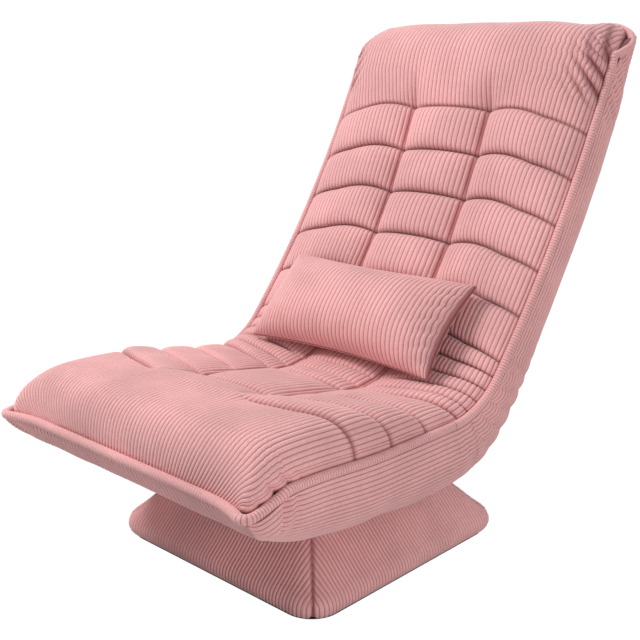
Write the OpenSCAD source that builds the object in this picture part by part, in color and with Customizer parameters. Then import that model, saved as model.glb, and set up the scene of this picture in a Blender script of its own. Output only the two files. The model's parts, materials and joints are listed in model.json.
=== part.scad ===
/* [Seat and back] */
// Width between the piping lines of the two sides
pad_w = 540; // [500:5:600]
// Length of the seat, from the front piping to the crook
seat_len = 392; // [370:2:430]
// How far the front piping lies ahead of the swivel axis
seat_front = 368; // [350:2:390]
// Radius of the crook between seat and back, along the piping
crook_r = 150; // [140:2:165]
// Angle that the crook turns through as the chair stands
crook_turn = 50; // [46:1:54]
// Length of the back, from the crook to the top piping
back_len = 548; // [530:2:600]
// Angle that the back curves forward, from bottom to top
back_bow = 16; // [10:1:18]
// Thickness of the seat pad below its piping
pad_depth = 60; // [55:1:70]
// Thickness of the back pad below its piping
back_pad_depth = 45; // [40:1:52]
// Radius of the corded piping
piping_r = 7; // [5:0.5:8]

/* [Tufting] */
// Height of the front roll above the piping
front_roll = 58; // [45:1:65]
// Height of the seat's sewn seams above the piping, behind the front roll
seam_front = 40; // [30:1:46]
// Height of the seams above the piping, at the rear of the seat
seam_rear = 16; // [10:1:24]
// Height of the seams above the piping, on the lower back
seam_back = 3; // [1:1:10]
// Height of the seam under the head roll above the piping
seam_head = 27; // [18:1:32]
// Height of a tufted cell above its seams
tuft_rise = 22; // [12:1:28]
// Height of a ruffle above its seams, in the crook
ruffle_rise = 9; // [5:1:12]
// Distance between the seams across the seat
seat_pitch = 76; // [70:1:80]
// Distance between the seams across the back
back_pitch = 80; // [76:1:84]
// Distance from the middle to each lengthwise seam
seam_x = 81; // [70:1:95]
// Radius of the head roll
head_r = 84; // [76:1:90]

/* [Base] */
// Width of the base across its flat sides
base_w = 447; // [420:1:480]
// Height of the base, up to the top of its top board
base_h = 124; // [115:1:135]
// Corner radius of the base at the floor
base_corner_r = 48; // [40:1:60]
// Thickness of the padded cover of the base
base_cover_t = 8; // [6:0.5:10]
// Thickness of the base's boards and ribs
board_t = 12; // [10:1:15]
// Thickness of the anti-slip sheet
sheet_t = 2; // [1.5:0.5:3]

/* [Swivel] */
// Width of the square swivel plates
plate_w = 150; // [146:2:156]
// Thickness of the swivel plates
plate_t = 3; // [2.5:0.5:4]
// Radius of the ball circle
race_r = 50; // [44:1:54]
// Diameter of a bearing ball
ball_d = 6; // [5:0.5:7]
// Number of bearing balls
ball_count = 24; // [16:1:28]
// Diameter of the king bolt
king_d = 10; // [8:1:12]

/* [Frame] */
// Diameter of the frame tubes
tube_d = 22; // [19:1:24]
// Wall of the frame tubes
tube_wall = 1.5; // [1.2:0.1:2]
// Bend radius of the frame tubes
bend_r = 60; // [50:2:70]
// Distance from the piping line in to the axis of each seat side tube
tube_inset = 45; // [42:1:55]
// Angle that the front of the seat frame is bent up
nose_angle = 12; // [8:1:14]
// Height of the cross rails
rail_h = 15; // [12:1:18]
// Width of the cross rails
rail_w = 34; // [28:1:36]
// Width of a webbing strap
web_w = 45; // [38:1:50]
// Thickness of a webbing strap
web_t = 2; // [1.5:0.5:3]

/* [Hinges] */
// Depth of the hinge axis below the piping, in the crook
hinge_depth = 62; // [60:1:64]
// Radius of the ratchet housing
housing_r = 25; // [22:1:26]
// Thickness of the hinge arms
arm_t = 4; // [3:0.5:5]
// Diameter of the hinge pins
pin_d = 10; // [8:1:12]

/* [Lumbar pillow] */
// Width of the pillow from corner to corner
pillow_w = 396; // [340:4:420]
// Height of the pillow from corner to corner
pillow_h = 186; // [160:2:200]
// Bulge of the pillow's front
pillow_front = 56; // [45:1:62]
// Bulge of the pillow's rear
pillow_rear = 24; // [18:1:28]

/* [Hidden] */
$fn = 48;

// Clearances
soft_gap = 0.3;
run_gap = 0.05;
joint_gap = 0.3;
cut_over = 1;

// Side profile: the piping line runs level along the seat, turns up the crook and bows up the back
half_w = pad_w / 2;
seat_tube_x = half_w - tube_inset;
crook_len = crook_r * crook_turn * PI / 180;
back_r = back_len / (back_bow * PI / 180);
back_start = seat_len + crook_len;
spine_end = back_start + back_len;

// Heights of the swivel stack, from the floor up to the piping
race_h = 5;
race_gap = 4;
tube_r = tube_d / 2;
lower_plate_z = base_h;
lower_race_top = lower_plate_z + plate_t + race_h;
ball_z = lower_race_top + race_gap / 2;
upper_race_z = lower_race_top + race_gap;
upper_plate_z = upper_race_z + race_h;
rail_z = upper_plate_z + plate_t;
seat_tube_z = rail_z + rail_h + tube_r;
piping_z = seat_tube_z + tube_r + web_t + pad_depth;

// Depths below the piping
bottom_wall = 4;
side_wall = 9;
shell_depth = piping_z - rail_z + bottom_wall;
seat_tube_depth = piping_z - seat_tube_z;
back_tube_tail = 46;
back_tube_inset = 70;
back_tube_low = -back_tube_tail;
back_tube_high = back_len - back_tube_inset;
back_tube_steps = 7;
// How far the middle of each straight piece of the back tube lies in front of the bow
bow_sag = pow((back_tube_high - back_tube_low) / back_tube_steps, 2) / (8 * back_r);
back_tube_depth = back_pad_depth + web_t + tube_r + bow_sag;
back_wall = shell_depth - back_tube_depth - tube_r - bow_sag - soft_gap;

crook_start_y = seat_len - seat_front;
crook_c = [crook_start_y, piping_z + crook_r];
crook_end = crook_c + crook_r * [sin(crook_turn), -cos(crook_turn)];
back_c = crook_end + back_r * [-sin(crook_turn), cos(crook_turn)];
hinge_turn = crook_turn / 2;
hinge_yz = crook_c + (crook_r + hinge_depth) * [sin(hinge_turn), -cos(hinge_turn)];

// Turn of the profile at a length s along it
function turn_at(s) =
    s < seat_len ? 0
    : s < back_start ? (s - seat_len) / crook_r * 180 / PI
    : crook_turn + (s - back_start) / back_r * 180 / PI;
// Point of the profile at a length s along it, as y and z
function spine_at(s) =
    s < seat_len ? [s - seat_front, piping_z]
    : s < back_start ? crook_c + crook_r * [sin(turn_at(s)), -cos(turn_at(s))]
    : back_c + back_r * [sin(turn_at(s)), -cos(turn_at(s))];
function normal_at(s) = [0, -sin(turn_at(s)), cos(turn_at(s))];
// Point at x, at a length s along the profile and a height n above it
function at(x, s, n) = [x, spine_at(s)[0], spine_at(s)[1]] + n * normal_at(s);

function flat(list) = [for (a = list) for (b = a) b];
function mix(a, b, t) = a + (b - a) * t;
function clamp01(t) = min(1, max(0, t));
function reversed(list) = [for (i = [len(list) - 1 : -1 : 0]) list[i]];
function mirrored_x(half) = concat([for (p = reversed(half)) [-p[0], p[1]]], half);

// Triangles of the walls between successive rings of n points
function wall_faces(n, rings) = flat([for (i = [0 : rings - 2]) for (j = [0 : n - 1])
    let (a = i * n + j, b = i * n + (j + 1) % n, c = a + n, d = b + n) [[a, d, b], [a, c, d]]]);
// Triangles that close a ring, whose first nt points face its other nb points
function cap_faces(o, nt, nb) = let (n = nt + nb, step = (nb - 1) / (nt - 1)) concat(
    [for (i = [0 : nt - 2]) [o + i, o + i + 1, o + n - 1 - round((i + 0.5) * step)]],
    [for (k = [0 : nb - 2]) [o + n - 1 - k, o + ceil((k + 0.5) / step - 0.5), o + n - 2 - k]]);

// Closed skin over rings, each of nt points left to right and then nb points right to left
module loft(rings, nt) {
    n = len(rings[0]);
    count = len(rings);
    first = cap_faces(0, nt, n - nt);
    last = [for (f = cap_faces((count - 1) * n, nt, n - nt)) [f[0], f[2], f[1]]];
    polyhedron(flat(rings), concat(wall_faces(n, count), first, last), convexity = 10);
}

// Skin over rings that close on themselves and on each other, as the walls of an open box
module loft_loop(rings) {
    polyhedron(flat(rings), wall_loop(len(rings[0]), len(rings)), convexity = 10);
}
function wall_loop(n, count) = flat([for (i = [0 : count - 1]) for (j = [0 : n - 1])
    let (a = i * n + j, b = i * n + (j + 1) % n, c = ((i + 1) % count) * n + j,
         d = ((i + 1) % count) * n + (j + 1) % n) [[a, d, b], [a, c, d]]]);

function unit(v) = v / norm(v);
// Rings of a round sweep along path, where ups are directions that stay clear of the path's own
function sweep_rings(path, ups, radius, sides) = [for (i = [0 : len(path) - 1])
    let (t = unit(path[min(i + 1, len(path) - 1)] - path[max(i - 1, 0)]),
         u = unit(ups[i] - t * (ups[i] * t)), v = cross(t, u))
    [for (k = [0 : sides - 1]) path[i] + radius * (cos(360 * k / sides) * u + sin(360 * k / sides) * v)]];
// Solid round cord
module cord(path, ups, radius, sides) {
    count = len(path);
    ends = [[for (k = [0 : sides - 1]) k], [for (k = [sides - 1 : -1 : 0]) (count - 1) * sides + k]];
    polyhedron(flat(sweep_rings(path, ups, radius, sides)), concat(wall_faces(sides, count), ends),
        convexity = 10);
}
// Hollow round tube
module tube(path, ups, radius, wall, sides) {
    loft_loop(concat(sweep_rings(path, ups, radius, sides),
        reversed(sweep_rings(path, ups, radius - wall, sides))));
}

// Pad surface
pad_half = half_w - piping_r - soft_gap;
// Share of the way from the lengthwise seam to the side
side_cell_shares = [0, 0.06, 0.18, 0.4, 0.65, 0.82, 0.92, 0.975, 1];
mid_cell_shares = [-0.88, -0.6, -0.25, 0.25, 0.6, 0.88];
// Share of a cell's length between two cross seams
cell_shares = [0.12, 0.35, 0.65, 0.88];
nose_shares = [0, 0.02, 0.09, 0.22, 0.43, 0.74];

// Swell of a cell from seam to seam, as a share of its rise
function swell(t) = pow(max(0, 1 - pow(abs(2 * t - 1), 2.6)), 0.8);
// Fall of the pad towards its piping, as a share of its height
function side_fall(t) = t < 0.5 ? 1 : pow(max(0, 1 - pow((t - 0.5) * 2, 4)), 0.45);
// Stations across the pad: place as a share of half the width, fall, cell swell, and 1 in the
// middle column
seam_share = seam_x / pad_half;
side_stations = [for (t = side_cell_shares)
    [mix(seam_share, 1, t), side_fall(t), 1 - pow(1 - min(1, t / 0.4), 2.6), 0]];
across = concat([for (p = reversed(side_stations)) [-p[0], p[1], p[2], 0]],
    [for (t = mid_cell_shares) [t * seam_share, 1, 1 - pow(abs(t), 2.6), 1]], side_stations);
across_count = len(across);
under_shares = [0.98, seam_share, -seam_share, -0.98];

// One ring of a pad: height of the seams, lifts of side and middle cells, and the pad's bottom
function pad_ring(s, bow, seam, lift, mid_lift, fall, bottom, half) = concat(
    [for (p = across) at(half * p[0], s + bow * p[0] * p[0],
        p[1] * fall * (seam + p[2] * (p[3] == 1 ? mid_lift : lift)))],
    [for (x = under_shares) at(half * x, s + bow * x * x, -bottom)]);

row_bow = 52;
rear_row_share = 0.635;
rear_row = seat_len - row_bow * rear_row_share;
function seat_row(k) = rear_row - (3 - k) * seat_pitch;
first_row_rise = 31;
first_row = back_start + first_row_rise;
function back_row(k) = first_row + k * back_pitch;
nose_len = 64;
nose_fall_len = 56;
corner_r = 28;
nose_bottom = 6;
nose_reach_share = 0.5;
nose_reach = nose_reach_share * seat_len;
nose_low_share = 0.2;
nose_power = 2.2;
nose_root = 0.62;
front_lip = 2;
front_lead = 16;
front_slot = 0.6;
bottom_reach = 90;
bend_ahead = 100;
bend_ease = 12;

// Depth of the shell as a share, which grows from the nose to the middle of the seat
function nose_share(s) = s > nose_reach ? 1
    : (nose_low_share + (1 - nose_low_share) * pow(1 - pow(1 - s / nose_reach, nose_power), nose_root))
        * sqrt(clamp01((s + front_lip) / front_lead));
function half_at(s, half) = s >= corner_r ? half
    : half - corner_r * (1 - sqrt(max(0, 1 - pow(1 - s / corner_r, 2))));

// Where the seat frame starts to bend up, as a length along the profile
bend_s = seat_front - bend_ahead;
function frame_rise(s) = max(0, bend_s + bend_ease - s) * tan(nose_angle);
function seat_bottom(s) = min(pad_depth - frame_rise(s), mix(nose_bottom, pad_depth,
    clamp01(s / bottom_reach)));

function seat_seam(s) = mix(seam_front, seam_rear, clamp01((s - seat_row(0)) / (rear_row - seat_row(0))));
function nose_fall(s) = s >= nose_fall_len ? 1 : pow(max(0, 1 - pow(1 - s / nose_fall_len, 3.4)), 0.42);
// Cell that a length falls in, as its share between two rows
function between(s, a, b) = clamp01((s - a) / (b - a));
function seat_mid_lift(s) =
    s < seat_row(1) ? (front_roll - seam_front)
        * swell(mix(roll_start_share, 1, between(s, 0, seat_row(1))))
    : tuft_rise * swell(between(s, seat_row(1), seat_row(3)));
roll_start_share = 0.12;
flat_share = 0.8;
roll_shares = [0.36, 0.62, 0.84, 0.95];
seat_stations = concat(
    [for (t = nose_shares) [t * nose_len, (front_roll - seam_front)
        * swell(mix(roll_start_share, 1, t * nose_len / seat_row(0)))]],
    [for (t = roll_shares) [mix(nose_len, seat_row(0), t), (front_roll - seam_front)
        * swell(mix(roll_start_share, 1, mix(nose_len, seat_row(0), t) / seat_row(0)))]],
    [[seat_row(0), 0]],
    flat([for (k = [0 : 2]) concat(
        [for (t = cell_shares) [mix(seat_row(k), seat_row(k + 1), t), tuft_rise * flat_share * swell(t)]],
        [[seat_row(k + 1) - (k == 2 ? soft_gap : 0), 0]])]));

module seat_pad() {
    color("pink")
        loft([for (p = seat_stations) pad_ring(p[0], row_bow * clamp01(p[0] / seat_row(0)),
            seat_seam(p[0]), p[1], seat_mid_lift(p[0]), nose_fall(p[0]), seat_bottom(p[0]),
            half_at(p[0], pad_half))], across_count);
}

// The crook has short ruffled rows between the last seat seam and the first back seam
ruffles = 5;
ruffle_shares = [0.2, 0.5, 0.8];
ruffle_mid_share = 0.6;
crook_bottom = 30;
crook_stations = concat([[soft_gap / crook_len, 0]], flat([for (k = [0 : ruffles - 1]) concat(
    [for (t = ruffle_shares) [(k + t) / ruffles, ruffle_rise * swell(t)]],
    [[(k + 1) / ruffles, 0]])]));

module crook_pad() {
    color("pink")
        loft([for (p = crook_stations)
            let (s = mix(rear_row, first_row, min(p[0], 1 - soft_gap / crook_len)))
            pad_ring(s, row_bow * (1 - p[0]), mix(seam_rear, seam_back, p[0]), p[1],
                p[1] * ruffle_mid_share, 1,
                crook_bottom, pad_half)], across_count);
}

// Back: five rows of cells, then the head roll, which wraps over the top to the rear
back_stations = concat([[first_row, 0]], flat([for (k = [0 : 4]) concat(
    [for (t = cell_shares) [mix(back_row(k), back_row(k + 1), t), tuft_rise * swell(t)]],
    [[back_row(k + 1), 0]])]));
function back_seam(s) = mix(seam_back, seam_head, pow(clamp01((s - first_row) / (5 * back_pitch)), 2.2));
wrap_lead = 10;
wrap_tuck = 8;
top_corner_share = 0.45;
wrap_s = spine_end - wrap_lead;
wrap_n = -26;
wrap_turn = 112;
wrap_steps = 8;
wrap_edge_r = 70;
wrap_inner = 52;
head_shares = [0.1, 0.3, 0.62];
head_top = head_r + wrap_n;
function head_height(t) = mix(seam_head, head_top, pow(sin(90 * t), 0.8));

// Ring of the head wrap at a turn phi about the middle of the roll
function wrap_ring(phi) =
    let (t = phi / wrap_turn, edge = mix(-wrap_n, wrap_edge_r, t),
         half = top_half(t, pad_half)) concat(
    [for (p = across) let (r = mix(edge, mix(head_r, wrap_edge_r, pow(t, 3)), p[1]))
        at(half * p[0], wrap_s + r * sin(phi), wrap_n + r * cos(phi))],
    [for (x = under_shares) at(half * x, wrap_s + wrap_inner * t,
        mix(-back_pad_depth, wrap_n + wrap_edge_r * cos(wrap_turn) - wrap_tuck, t))]);

module back_pad() {
    color("pink")
        loft(concat(
            [for (p = back_stations) pad_ring(p[0], 0, back_seam(p[0]), p[1], p[1], 1, back_pad_depth,
                pad_half)],
            [for (t = head_shares) pad_ring(mix(back_row(5), wrap_s, t), 0, head_height(t), 0, 0, 1,
                back_pad_depth, pad_half)],
            [for (i = [0 : wrap_steps]) wrap_ring(wrap_turn * i / wrap_steps)]), across_count);
}

// Section of the shell: distance out from the piping line, as a share of its bottom radius, and
// share of its depth
bottom_round = 40;
outer_shares = [[-1, 1], [-0.55, 0.94], [-0.125, 0.79], [0.15, 0.53], [0.2, 0.3], [0.1, 0]];
outer_section = [for (p = outer_shares) [bottom_round * p[0], p[1]]];
bottom_lap = 1;
nose_wall = 2;
crook_wall = 10;
split_share = 0.3;
// One ring of the shell, from its edge under the piping down to its depth
function shell_ring(s, edge, depth, wall, half) =
    let (outer = [for (p = outer_section) [half + p[0], mix(edge, depth, p[1])]],
         inner = [for (p = outer_section) [half + p[0] - side_wall * (1 - pow(p[1], 3))
             - bottom_lap * p[1], mix(edge, depth - wall, p[1])]])
    concat([for (p = mirrored_x(inner)) at(p[0], s, -p[1])],
        [for (p = reversed(mirrored_x(outer))) at(p[0], s, -p[1])]);
shell_points = 2 * len(outer_section);
shell_edge = piping_r + soft_gap;

// The shell is shallower in front, hangs deepest before the crook and thins out up the back; the
// seat's share of it ends behind the rails
crook_sag = 8;
front_lift = 9;
back_taper = 22;
lift_shares = [0.3, 0.6];
sag_shares = [0.62, 0.86];
rise_shares = [1.12, 1.32];
taper_shares = [1.1, 1.75];
shell_split = seat_len + split_share * crook_len;
function eased(t) = t * t * (3 - 2 * t);
function ease_over(s, shares) = eased(clamp01((s / seat_len - shares[0]) / (shares[1] - shares[0])));
function depth_at(s) = shell_depth - front_lift * (1 - ease_over(s, lift_shares))
    + crook_sag * ease_over(s, sag_shares) * (1 - ease_over(s, rise_shares))
    - back_taper * ease_over(s, taper_shares);
function back_wall_at(s) = back_wall - shell_depth + depth_at(s);
seat_shell_shares = [0, 0.007, 0.017, 0.035, 0.065, 0.11, 0.17, 0.25, 0.34, 0.45, 0.6, 0.7, 0.8, 0.91,
    0.95, 1];
module seat_shell() {
    color("palevioletred") difference() {
        loft([for (t = seat_shell_shares) let (s = t * (shell_split - soft_gap),
            rise = (depth_at(s) - shell_edge) * nose_share(s)) shell_ring(s, shell_edge, shell_edge + rise,
            t == 0 ? rise - front_slot : mix(nose_wall, bottom_wall, nose_share(s)),
            half_at(s, half_w))], shell_points);
        translate([0, 0, rail_z - bottom_wall - crook_sag])
            square_prism(plate_w + 2 * mouth_gap, bottom_wall + crook_sag + rail_h, plate_corner_r);
    }
}

crook_shell_steps = 7;
module crook_shell() {
    color("palevioletred")
        loft([for (i = [0 : crook_shell_steps]) let (t = i / crook_shell_steps,
            s = mix(shell_split, first_row - soft_gap, t))
            shell_ring(s, shell_edge, depth_at(s), mix(bottom_wall, crook_wall, clamp01(3 * t)), half_w)],
            shell_points);
}

back_shell_shares = [0, 0.15, 0.3, 0.45, 0.6, 0.75, 0.88];
top_steps = 5;
module back_shell() {
    color("palevioletred")
        loft(concat(
            [for (t = back_shell_shares) let (s = mix(first_row, wrap_s, t)) shell_ring(s, shell_edge,
                depth_at(s), back_wall_at(s), half_w)],
            [for (i = [0 : top_steps]) top_ring(i / top_steps)]), shell_points);
}

// The piping climbs from the side to the rear of the top, and the shell closes under it
top_gap = 1.5;
top_lead = 20;
shell_top_lead = 24;
top_lip = 10;
top_wall = 4;
top_reach = wrap_edge_r * sin(wrap_turn) + piping_r + top_gap;
top_drop = -(wrap_n + wrap_edge_r * cos(wrap_turn));
function top_edge(t) = mix(0, top_drop, 1 - cos(90 * t));
function top_s(t) = wrap_s - top_lead + (top_reach + top_lead) * sin(90 * t);
function top_half(t, half) = half - corner_r * top_corner_share * pow(t, 3);
function top_ring(t) = shell_ring(
    mix(wrap_s - shell_top_lead, wrap_s + top_reach - shell_edge, sin(90 * t)),
    shell_edge + top_edge(t), mix(depth_at(wrap_s), shell_edge + top_drop + top_lip, 1 - cos(90 * t)),
    mix(back_wall_at(wrap_s), top_wall, sqrt(t)), top_half(t, half_w));

// Piping
cord_sides = 8;
front_reach = piping_r + soft_gap;
seat_side_steps = 9;
middle_shares = [0.75, 0.5, 0.25, 0];
seat_cord_half = concat(
    [for (i = [0 : seat_side_steps]) [half_w, mix(seat_len - soft_gap, corner_r, i / seat_side_steps)]],
    [for (a = [15 : 15 : 90]) [half_w - corner_r * (1 - cos(a)),
        corner_r - (corner_r + front_reach) * sin(a)]],
    [for (t = middle_shares) [(half_w - corner_r) * t, -front_reach]]);
module seat_piping() {
    path = concat(seat_cord_half, [for (i = [len(seat_cord_half) - 2 : -1 : 0])
        [-seat_cord_half[i][0], seat_cord_half[i][1]]]);
    color("lightpink") cord([for (p = path) at(p[0], p[1], 0)], [for (p = path) normal_at(p[1])],
        piping_r, cord_sides);
}

crook_cord_steps = 8;
module crook_piping() {
    color("lightpink") for (side = [-1, 1])
        cord([for (i = [0 : crook_cord_steps]) at(side * half_w, mix(seat_len, first_row - soft_gap,
            i / crook_cord_steps), 0)], [for (i = [0 : crook_cord_steps])
            normal_at(mix(seat_len, first_row, i / crook_cord_steps))], piping_r, cord_sides);
}

back_side_steps = 12;
top_turn_r = 24;
climb_shares = [0.2, 0.4, 0.6, 0.78];
ear_share = 0.86;
top_cord_share = 0.9;
top_cord_half = top_half(top_cord_share, half_w);
back_cord_half = concat(
    [for (i = [0 : back_side_steps]) [half_w, mix(first_row, wrap_s - shell_top_lead,
        i / back_side_steps), 0]],
    [for (t = climb_shares) [top_half(t, half_w), top_s(t), -top_edge(t)]],
    [for (a = [30 : 30 : 90]) [top_cord_half - top_turn_r * (1 - cos(a)),
        mix(top_s(ear_share), wrap_s + top_reach, sin(a)), -mix(top_edge(ear_share), top_drop, sin(a))]],
    [for (t = middle_shares) [(top_cord_half - top_turn_r) * t, wrap_s + top_reach, -top_drop]]);
module back_piping() {
    path = concat(back_cord_half, [for (i = [len(back_cord_half) - 2 : -1 : 0])
        [-back_cord_half[i][0], back_cord_half[i][1], back_cord_half[i][2]]]);
    color("lightpink") cord([for (p = path) at(p[0], p[1], p[2])], [for (p = path) normal_at(p[1])],
        piping_r, cord_sides);
}

// Lumbar pillow: front and rear bulge between sewn edges that are drawn in between the corners
pillow_lean = 4;
pillow_s = 30;
pillow_n = 51.2;
pillow_seam = 3;
pillow_rows = 12;
pillow_cols = 16;
draw_in = 0.06;
function pillow_swell(u, v) = pow((1 - pow(abs(u), 3.2)) * (1 - pow(abs(v), 2.6)), 0.55);
function pillow_x(u, v) = pillow_w / 2 * u * (1 - draw_in * (1 - v * v));
function pillow_y(u, v) = pillow_h / 2 * v * (1 - 2 * draw_in * (1 - u * u));
function row_param(i, count) = -cos(180 * i / count);
module pillow_body() {
    loft([for (i = [0 : pillow_rows]) let (v = row_param(i, pillow_rows)) concat(
        [for (j = [0 : pillow_cols]) let (u = row_param(j, pillow_cols))
            [pillow_x(u, v), pillow_y(u, v), pillow_seam / 2 + pillow_front * pillow_swell(u, v)]],
        [for (j = [pillow_cols : -2 : 0]) let (u = row_param(j, pillow_cols))
            [pillow_x(u, v), pillow_y(u, v), -pillow_seam / 2 - pillow_rear * pillow_swell(u, v)]])],
        pillow_cols + 1);
}
module lumbar_pillow() {
    color("pink") translate(at(0, back_start + pillow_s, pillow_n))
        rotate([turn_at(back_start) - pillow_lean, 0, 0]) pillow_body();
}

// Base
base_half = base_w / 2;
// Outline of the base, as shares of its height and of half its width
base_profile_shares = [[0, 0.975], [0.04, 0.995], [0.12, 1.005], [0.22, 0.985], [0.35, 0.915],
    [0.5, 0.84], [0.65, 0.76], [0.8, 0.665], [1, 0.53]];
corner_shrink = 0.6;
corner_steps = 8;
function base_ring(z, half, r) = [for (q = [0 : 3]) for (k = [0 : corner_steps])
    let (a = 90 * q + 90 * k / corner_steps, c = half - r,
         cx = (q == 0 || q == 3) ? c : -c, cy = q < 2 ? c : -c) [cx + r * cos(a), cy + r * sin(a), z]];
module base_cover() {
    outer = [for (p = base_profile_shares) base_ring(mix(sheet_t, base_h, p[0]), base_half * p[1],
        base_corner_r * (1 - corner_shrink * p[0]))];
    inner = [for (p = reversed(base_profile_shares)) base_ring(mix(sheet_t, base_h, p[0]),
        base_half * p[1] - base_cover_t, base_corner_r * (1 - corner_shrink * p[0]) - base_cover_t / 2)];
    color("pink") loft_loop(concat(outer, inner));
}

// Square prism with round corners, standing on z = 0
module square_prism(w, h, r) {
    c = w / 2 - r;
    translate([-w / 2, -c, 0]) cube([w, 2 * c, h]);
    translate([-c, -w / 2, 0]) cube([2 * c, w, h]);
    for (x = [-c, c]) for (y = [-c, c]) translate([x, y, 0]) cylinder(h = h, r = r);
}

board_half = base_half * base_profile_shares[0][1] - base_cover_t - soft_gap;
board_corner_r = base_corner_r - base_cover_t / 2;
module anti_slip_sheet() {
    color("dimgray") square_prism(2 * base_half * base_profile_shares[0][1], sheet_t, base_corner_r);
}
module base_board() {
    color("burlywood") translate([0, 0, sheet_t]) square_prism(2 * board_half, board_t, board_corner_r);
}

top_board_half = base_half * base_profile_shares[8][1] - base_cover_t - soft_gap;
top_board_z = base_h - board_t;
rib_z = sheet_t + board_t;
rib_inner = 42;
rib_foot = board_half * sqrt(2) - base_corner_r;
rib_head_inset = 24;
rib_head = top_board_half * sqrt(2) - rib_head_inset;
rib_toe = 10;
module hip_ribs() {
    color("burlywood") for (a = [45 : 90 : 315]) rotate([0, 0, a]) rotate([90, 0, 0])
        translate([0, 0, -board_t / 2]) linear_extrude(board_t)
            polygon([[rib_inner, rib_z], [rib_foot, rib_z], [rib_foot, rib_z + rib_toe],
                [rib_head, top_board_z], [rib_inner, top_board_z]]);
}
king_r = king_d / 2;
module base_top_board() {
    color("burlywood") translate([0, 0, top_board_z]) difference() {
        square_prism(2 * top_board_half, board_t, base_corner_r * (1 - corner_shrink) - base_cover_t / 2);
        translate([0, 0, -cut_over]) cylinder(h = board_t + 2 * cut_over, r = king_r);
        for (a = rib_screw_angles) rotate([0, 0, a]) translate([rib_screw_r, 0, -cut_over])
            cylinder(h = board_t + 2 * cut_over, r = screw_r);
        plate_holes() translate([0, 0, -cut_over]) cylinder(h = board_t + 2 * cut_over, r = screw_r);
    }
}

// Countersunk screws that hold the top board on the ribs
screw_r = 2.5;
screw_head_r = 5;
screw_head_h = 2.5;
rib_screw_inset = 14;
rib_screw_r = rib_inner + rib_screw_inset;
rib_screw_angles = [45 : 90 : 315];
module rib_screws() {
    color("silver") for (a = rib_screw_angles) rotate([0, 0, a]) translate([rib_screw_r, 0, top_board_z])
        cylinder(h = board_t, r = screw_r);
}

// Swivel
plate_corner_r = 12;
mouth_gap = 3;
race_w = 16;
hole_inset = 17;
hole_at = plate_w / 2 - hole_inset;
bolt_r = 3;
bolt_head_r = 5.5;
bolt_head_h = 4;
king_sleeve_t = 5;
king_sleeve_r = king_r + king_sleeve_t;
module plate_holes() {
    for (x = [-hole_at, hole_at]) for (y = [-hole_at, hole_at]) translate([x, y, 0]) children();
}
// Raised race ring with a groove that the balls run in; it stands on z = 0
module race_ring(groove_z) {
    rotate_extrude($fn = 96) difference() {
        translate([race_r - race_w / 2, 0]) square([race_w, race_h]);
        translate([race_r, groove_z]) circle(r = ball_d / 2 + run_gap);
    }
}
module swivel_lower_plate() {
    color("silver") translate([0, 0, lower_plate_z]) {
        difference() {
            square_prism(plate_w, plate_t, plate_corner_r);
            translate([0, 0, -cut_over]) cylinder(h = plate_t + 2 * cut_over, r = king_r);
            plate_holes() translate([0, 0, -cut_over]) cylinder(h = plate_t + 2 * cut_over, r = screw_r);
        }
        translate([0, 0, plate_t]) race_ring(ball_z - lower_plate_z - plate_t);
    }
}
module lower_plate_screws() {
    color("gray") plate_holes() translate([0, 0, top_board_z]) {
        cylinder(h = board_t + plate_t, r = screw_r);
        translate([0, 0, board_t + plate_t]) cylinder(h = screw_head_h, r1 = screw_head_r, r2 = screw_r);
    }
}
module swivel_upper_plate() {
    color("silver") translate([0, 0, upper_plate_z]) {
        difference() {
            union() {
                square_prism(plate_w, plate_t, plate_corner_r);
                translate([0, 0, -race_h]) cylinder(h = race_h, r = king_sleeve_r);
            }
            translate([0, 0, -race_h - cut_over])
                cylinder(h = race_h + plate_t + 2 * cut_over, r = king_r + run_gap);
            plate_holes() translate([0, 0, -cut_over]) cylinder(h = plate_t + 2 * cut_over, r = bolt_r);
        }
        translate([0, 0, -race_h]) race_ring(ball_z - upper_race_z);
    }
}
module upper_plate_bolts() {
    color("gray") plate_holes() translate([0, 0, upper_plate_z]) {
        translate([0, 0, -bolt_head_h]) cylinder(h = bolt_head_h, r = bolt_head_r, $fn = 6);
        cylinder(h = plate_t + rail_wall + bolt_head_h, r = bolt_r);
    }
}
cage_t = 2;
module ball_cage() {
    color("goldenrod") translate([0, 0, ball_z - cage_t / 2]) difference() {
        cylinder(h = cage_t, r = race_r + race_w / 2);
        translate([0, 0, -cut_over]) cylinder(h = cage_t + 2 * cut_over, r = race_r - race_w / 2);
        ball_places() translate([0, 0, -cut_over])
            cylinder(h = cage_t + 2 * cut_over, r = ball_d / 2 + run_gap);
    }
}
module ball_places() {
    for (i = [0 : ball_count - 1]) rotate([0, 0, 360 * i / ball_count]) translate([race_r, 0, 0])
        children();
}
module bearing_balls() {
    color("lightgray") translate([0, 0, ball_z]) ball_places() sphere(d = ball_d, $fn = 24);
}
king_head_h = 6;
king_head_r = king_d * 0.9;
washer_t = 2;
washer_r = king_d;
king_top = rail_z + washer_t + king_d;
module king_bolt() {
    color("gray") translate([0, 0, top_board_z - king_head_h]) {
        cylinder(h = king_head_h, r = king_head_r, $fn = 6);
        cylinder(h = king_top - top_board_z + king_head_h, r = king_r);
    }
}
module king_washer() {
    color("silver") translate([0, 0, rail_z + run_gap]) difference() {
        cylinder(h = washer_t, r = washer_r);
        translate([0, 0, -cut_over]) cylinder(h = washer_t + 2 * cut_over, r = king_r);
    }
}
nut_h = king_d * 0.8;
module king_nut() {
    color("gray") translate([0, 0, rail_z + run_gap + washer_t]) difference() {
        cylinder(h = nut_h, r = king_head_r, $fn = 6);
        translate([0, 0, -cut_over]) cylinder(h = nut_h + 2 * cut_over, r = king_r);
    }
}

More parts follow.
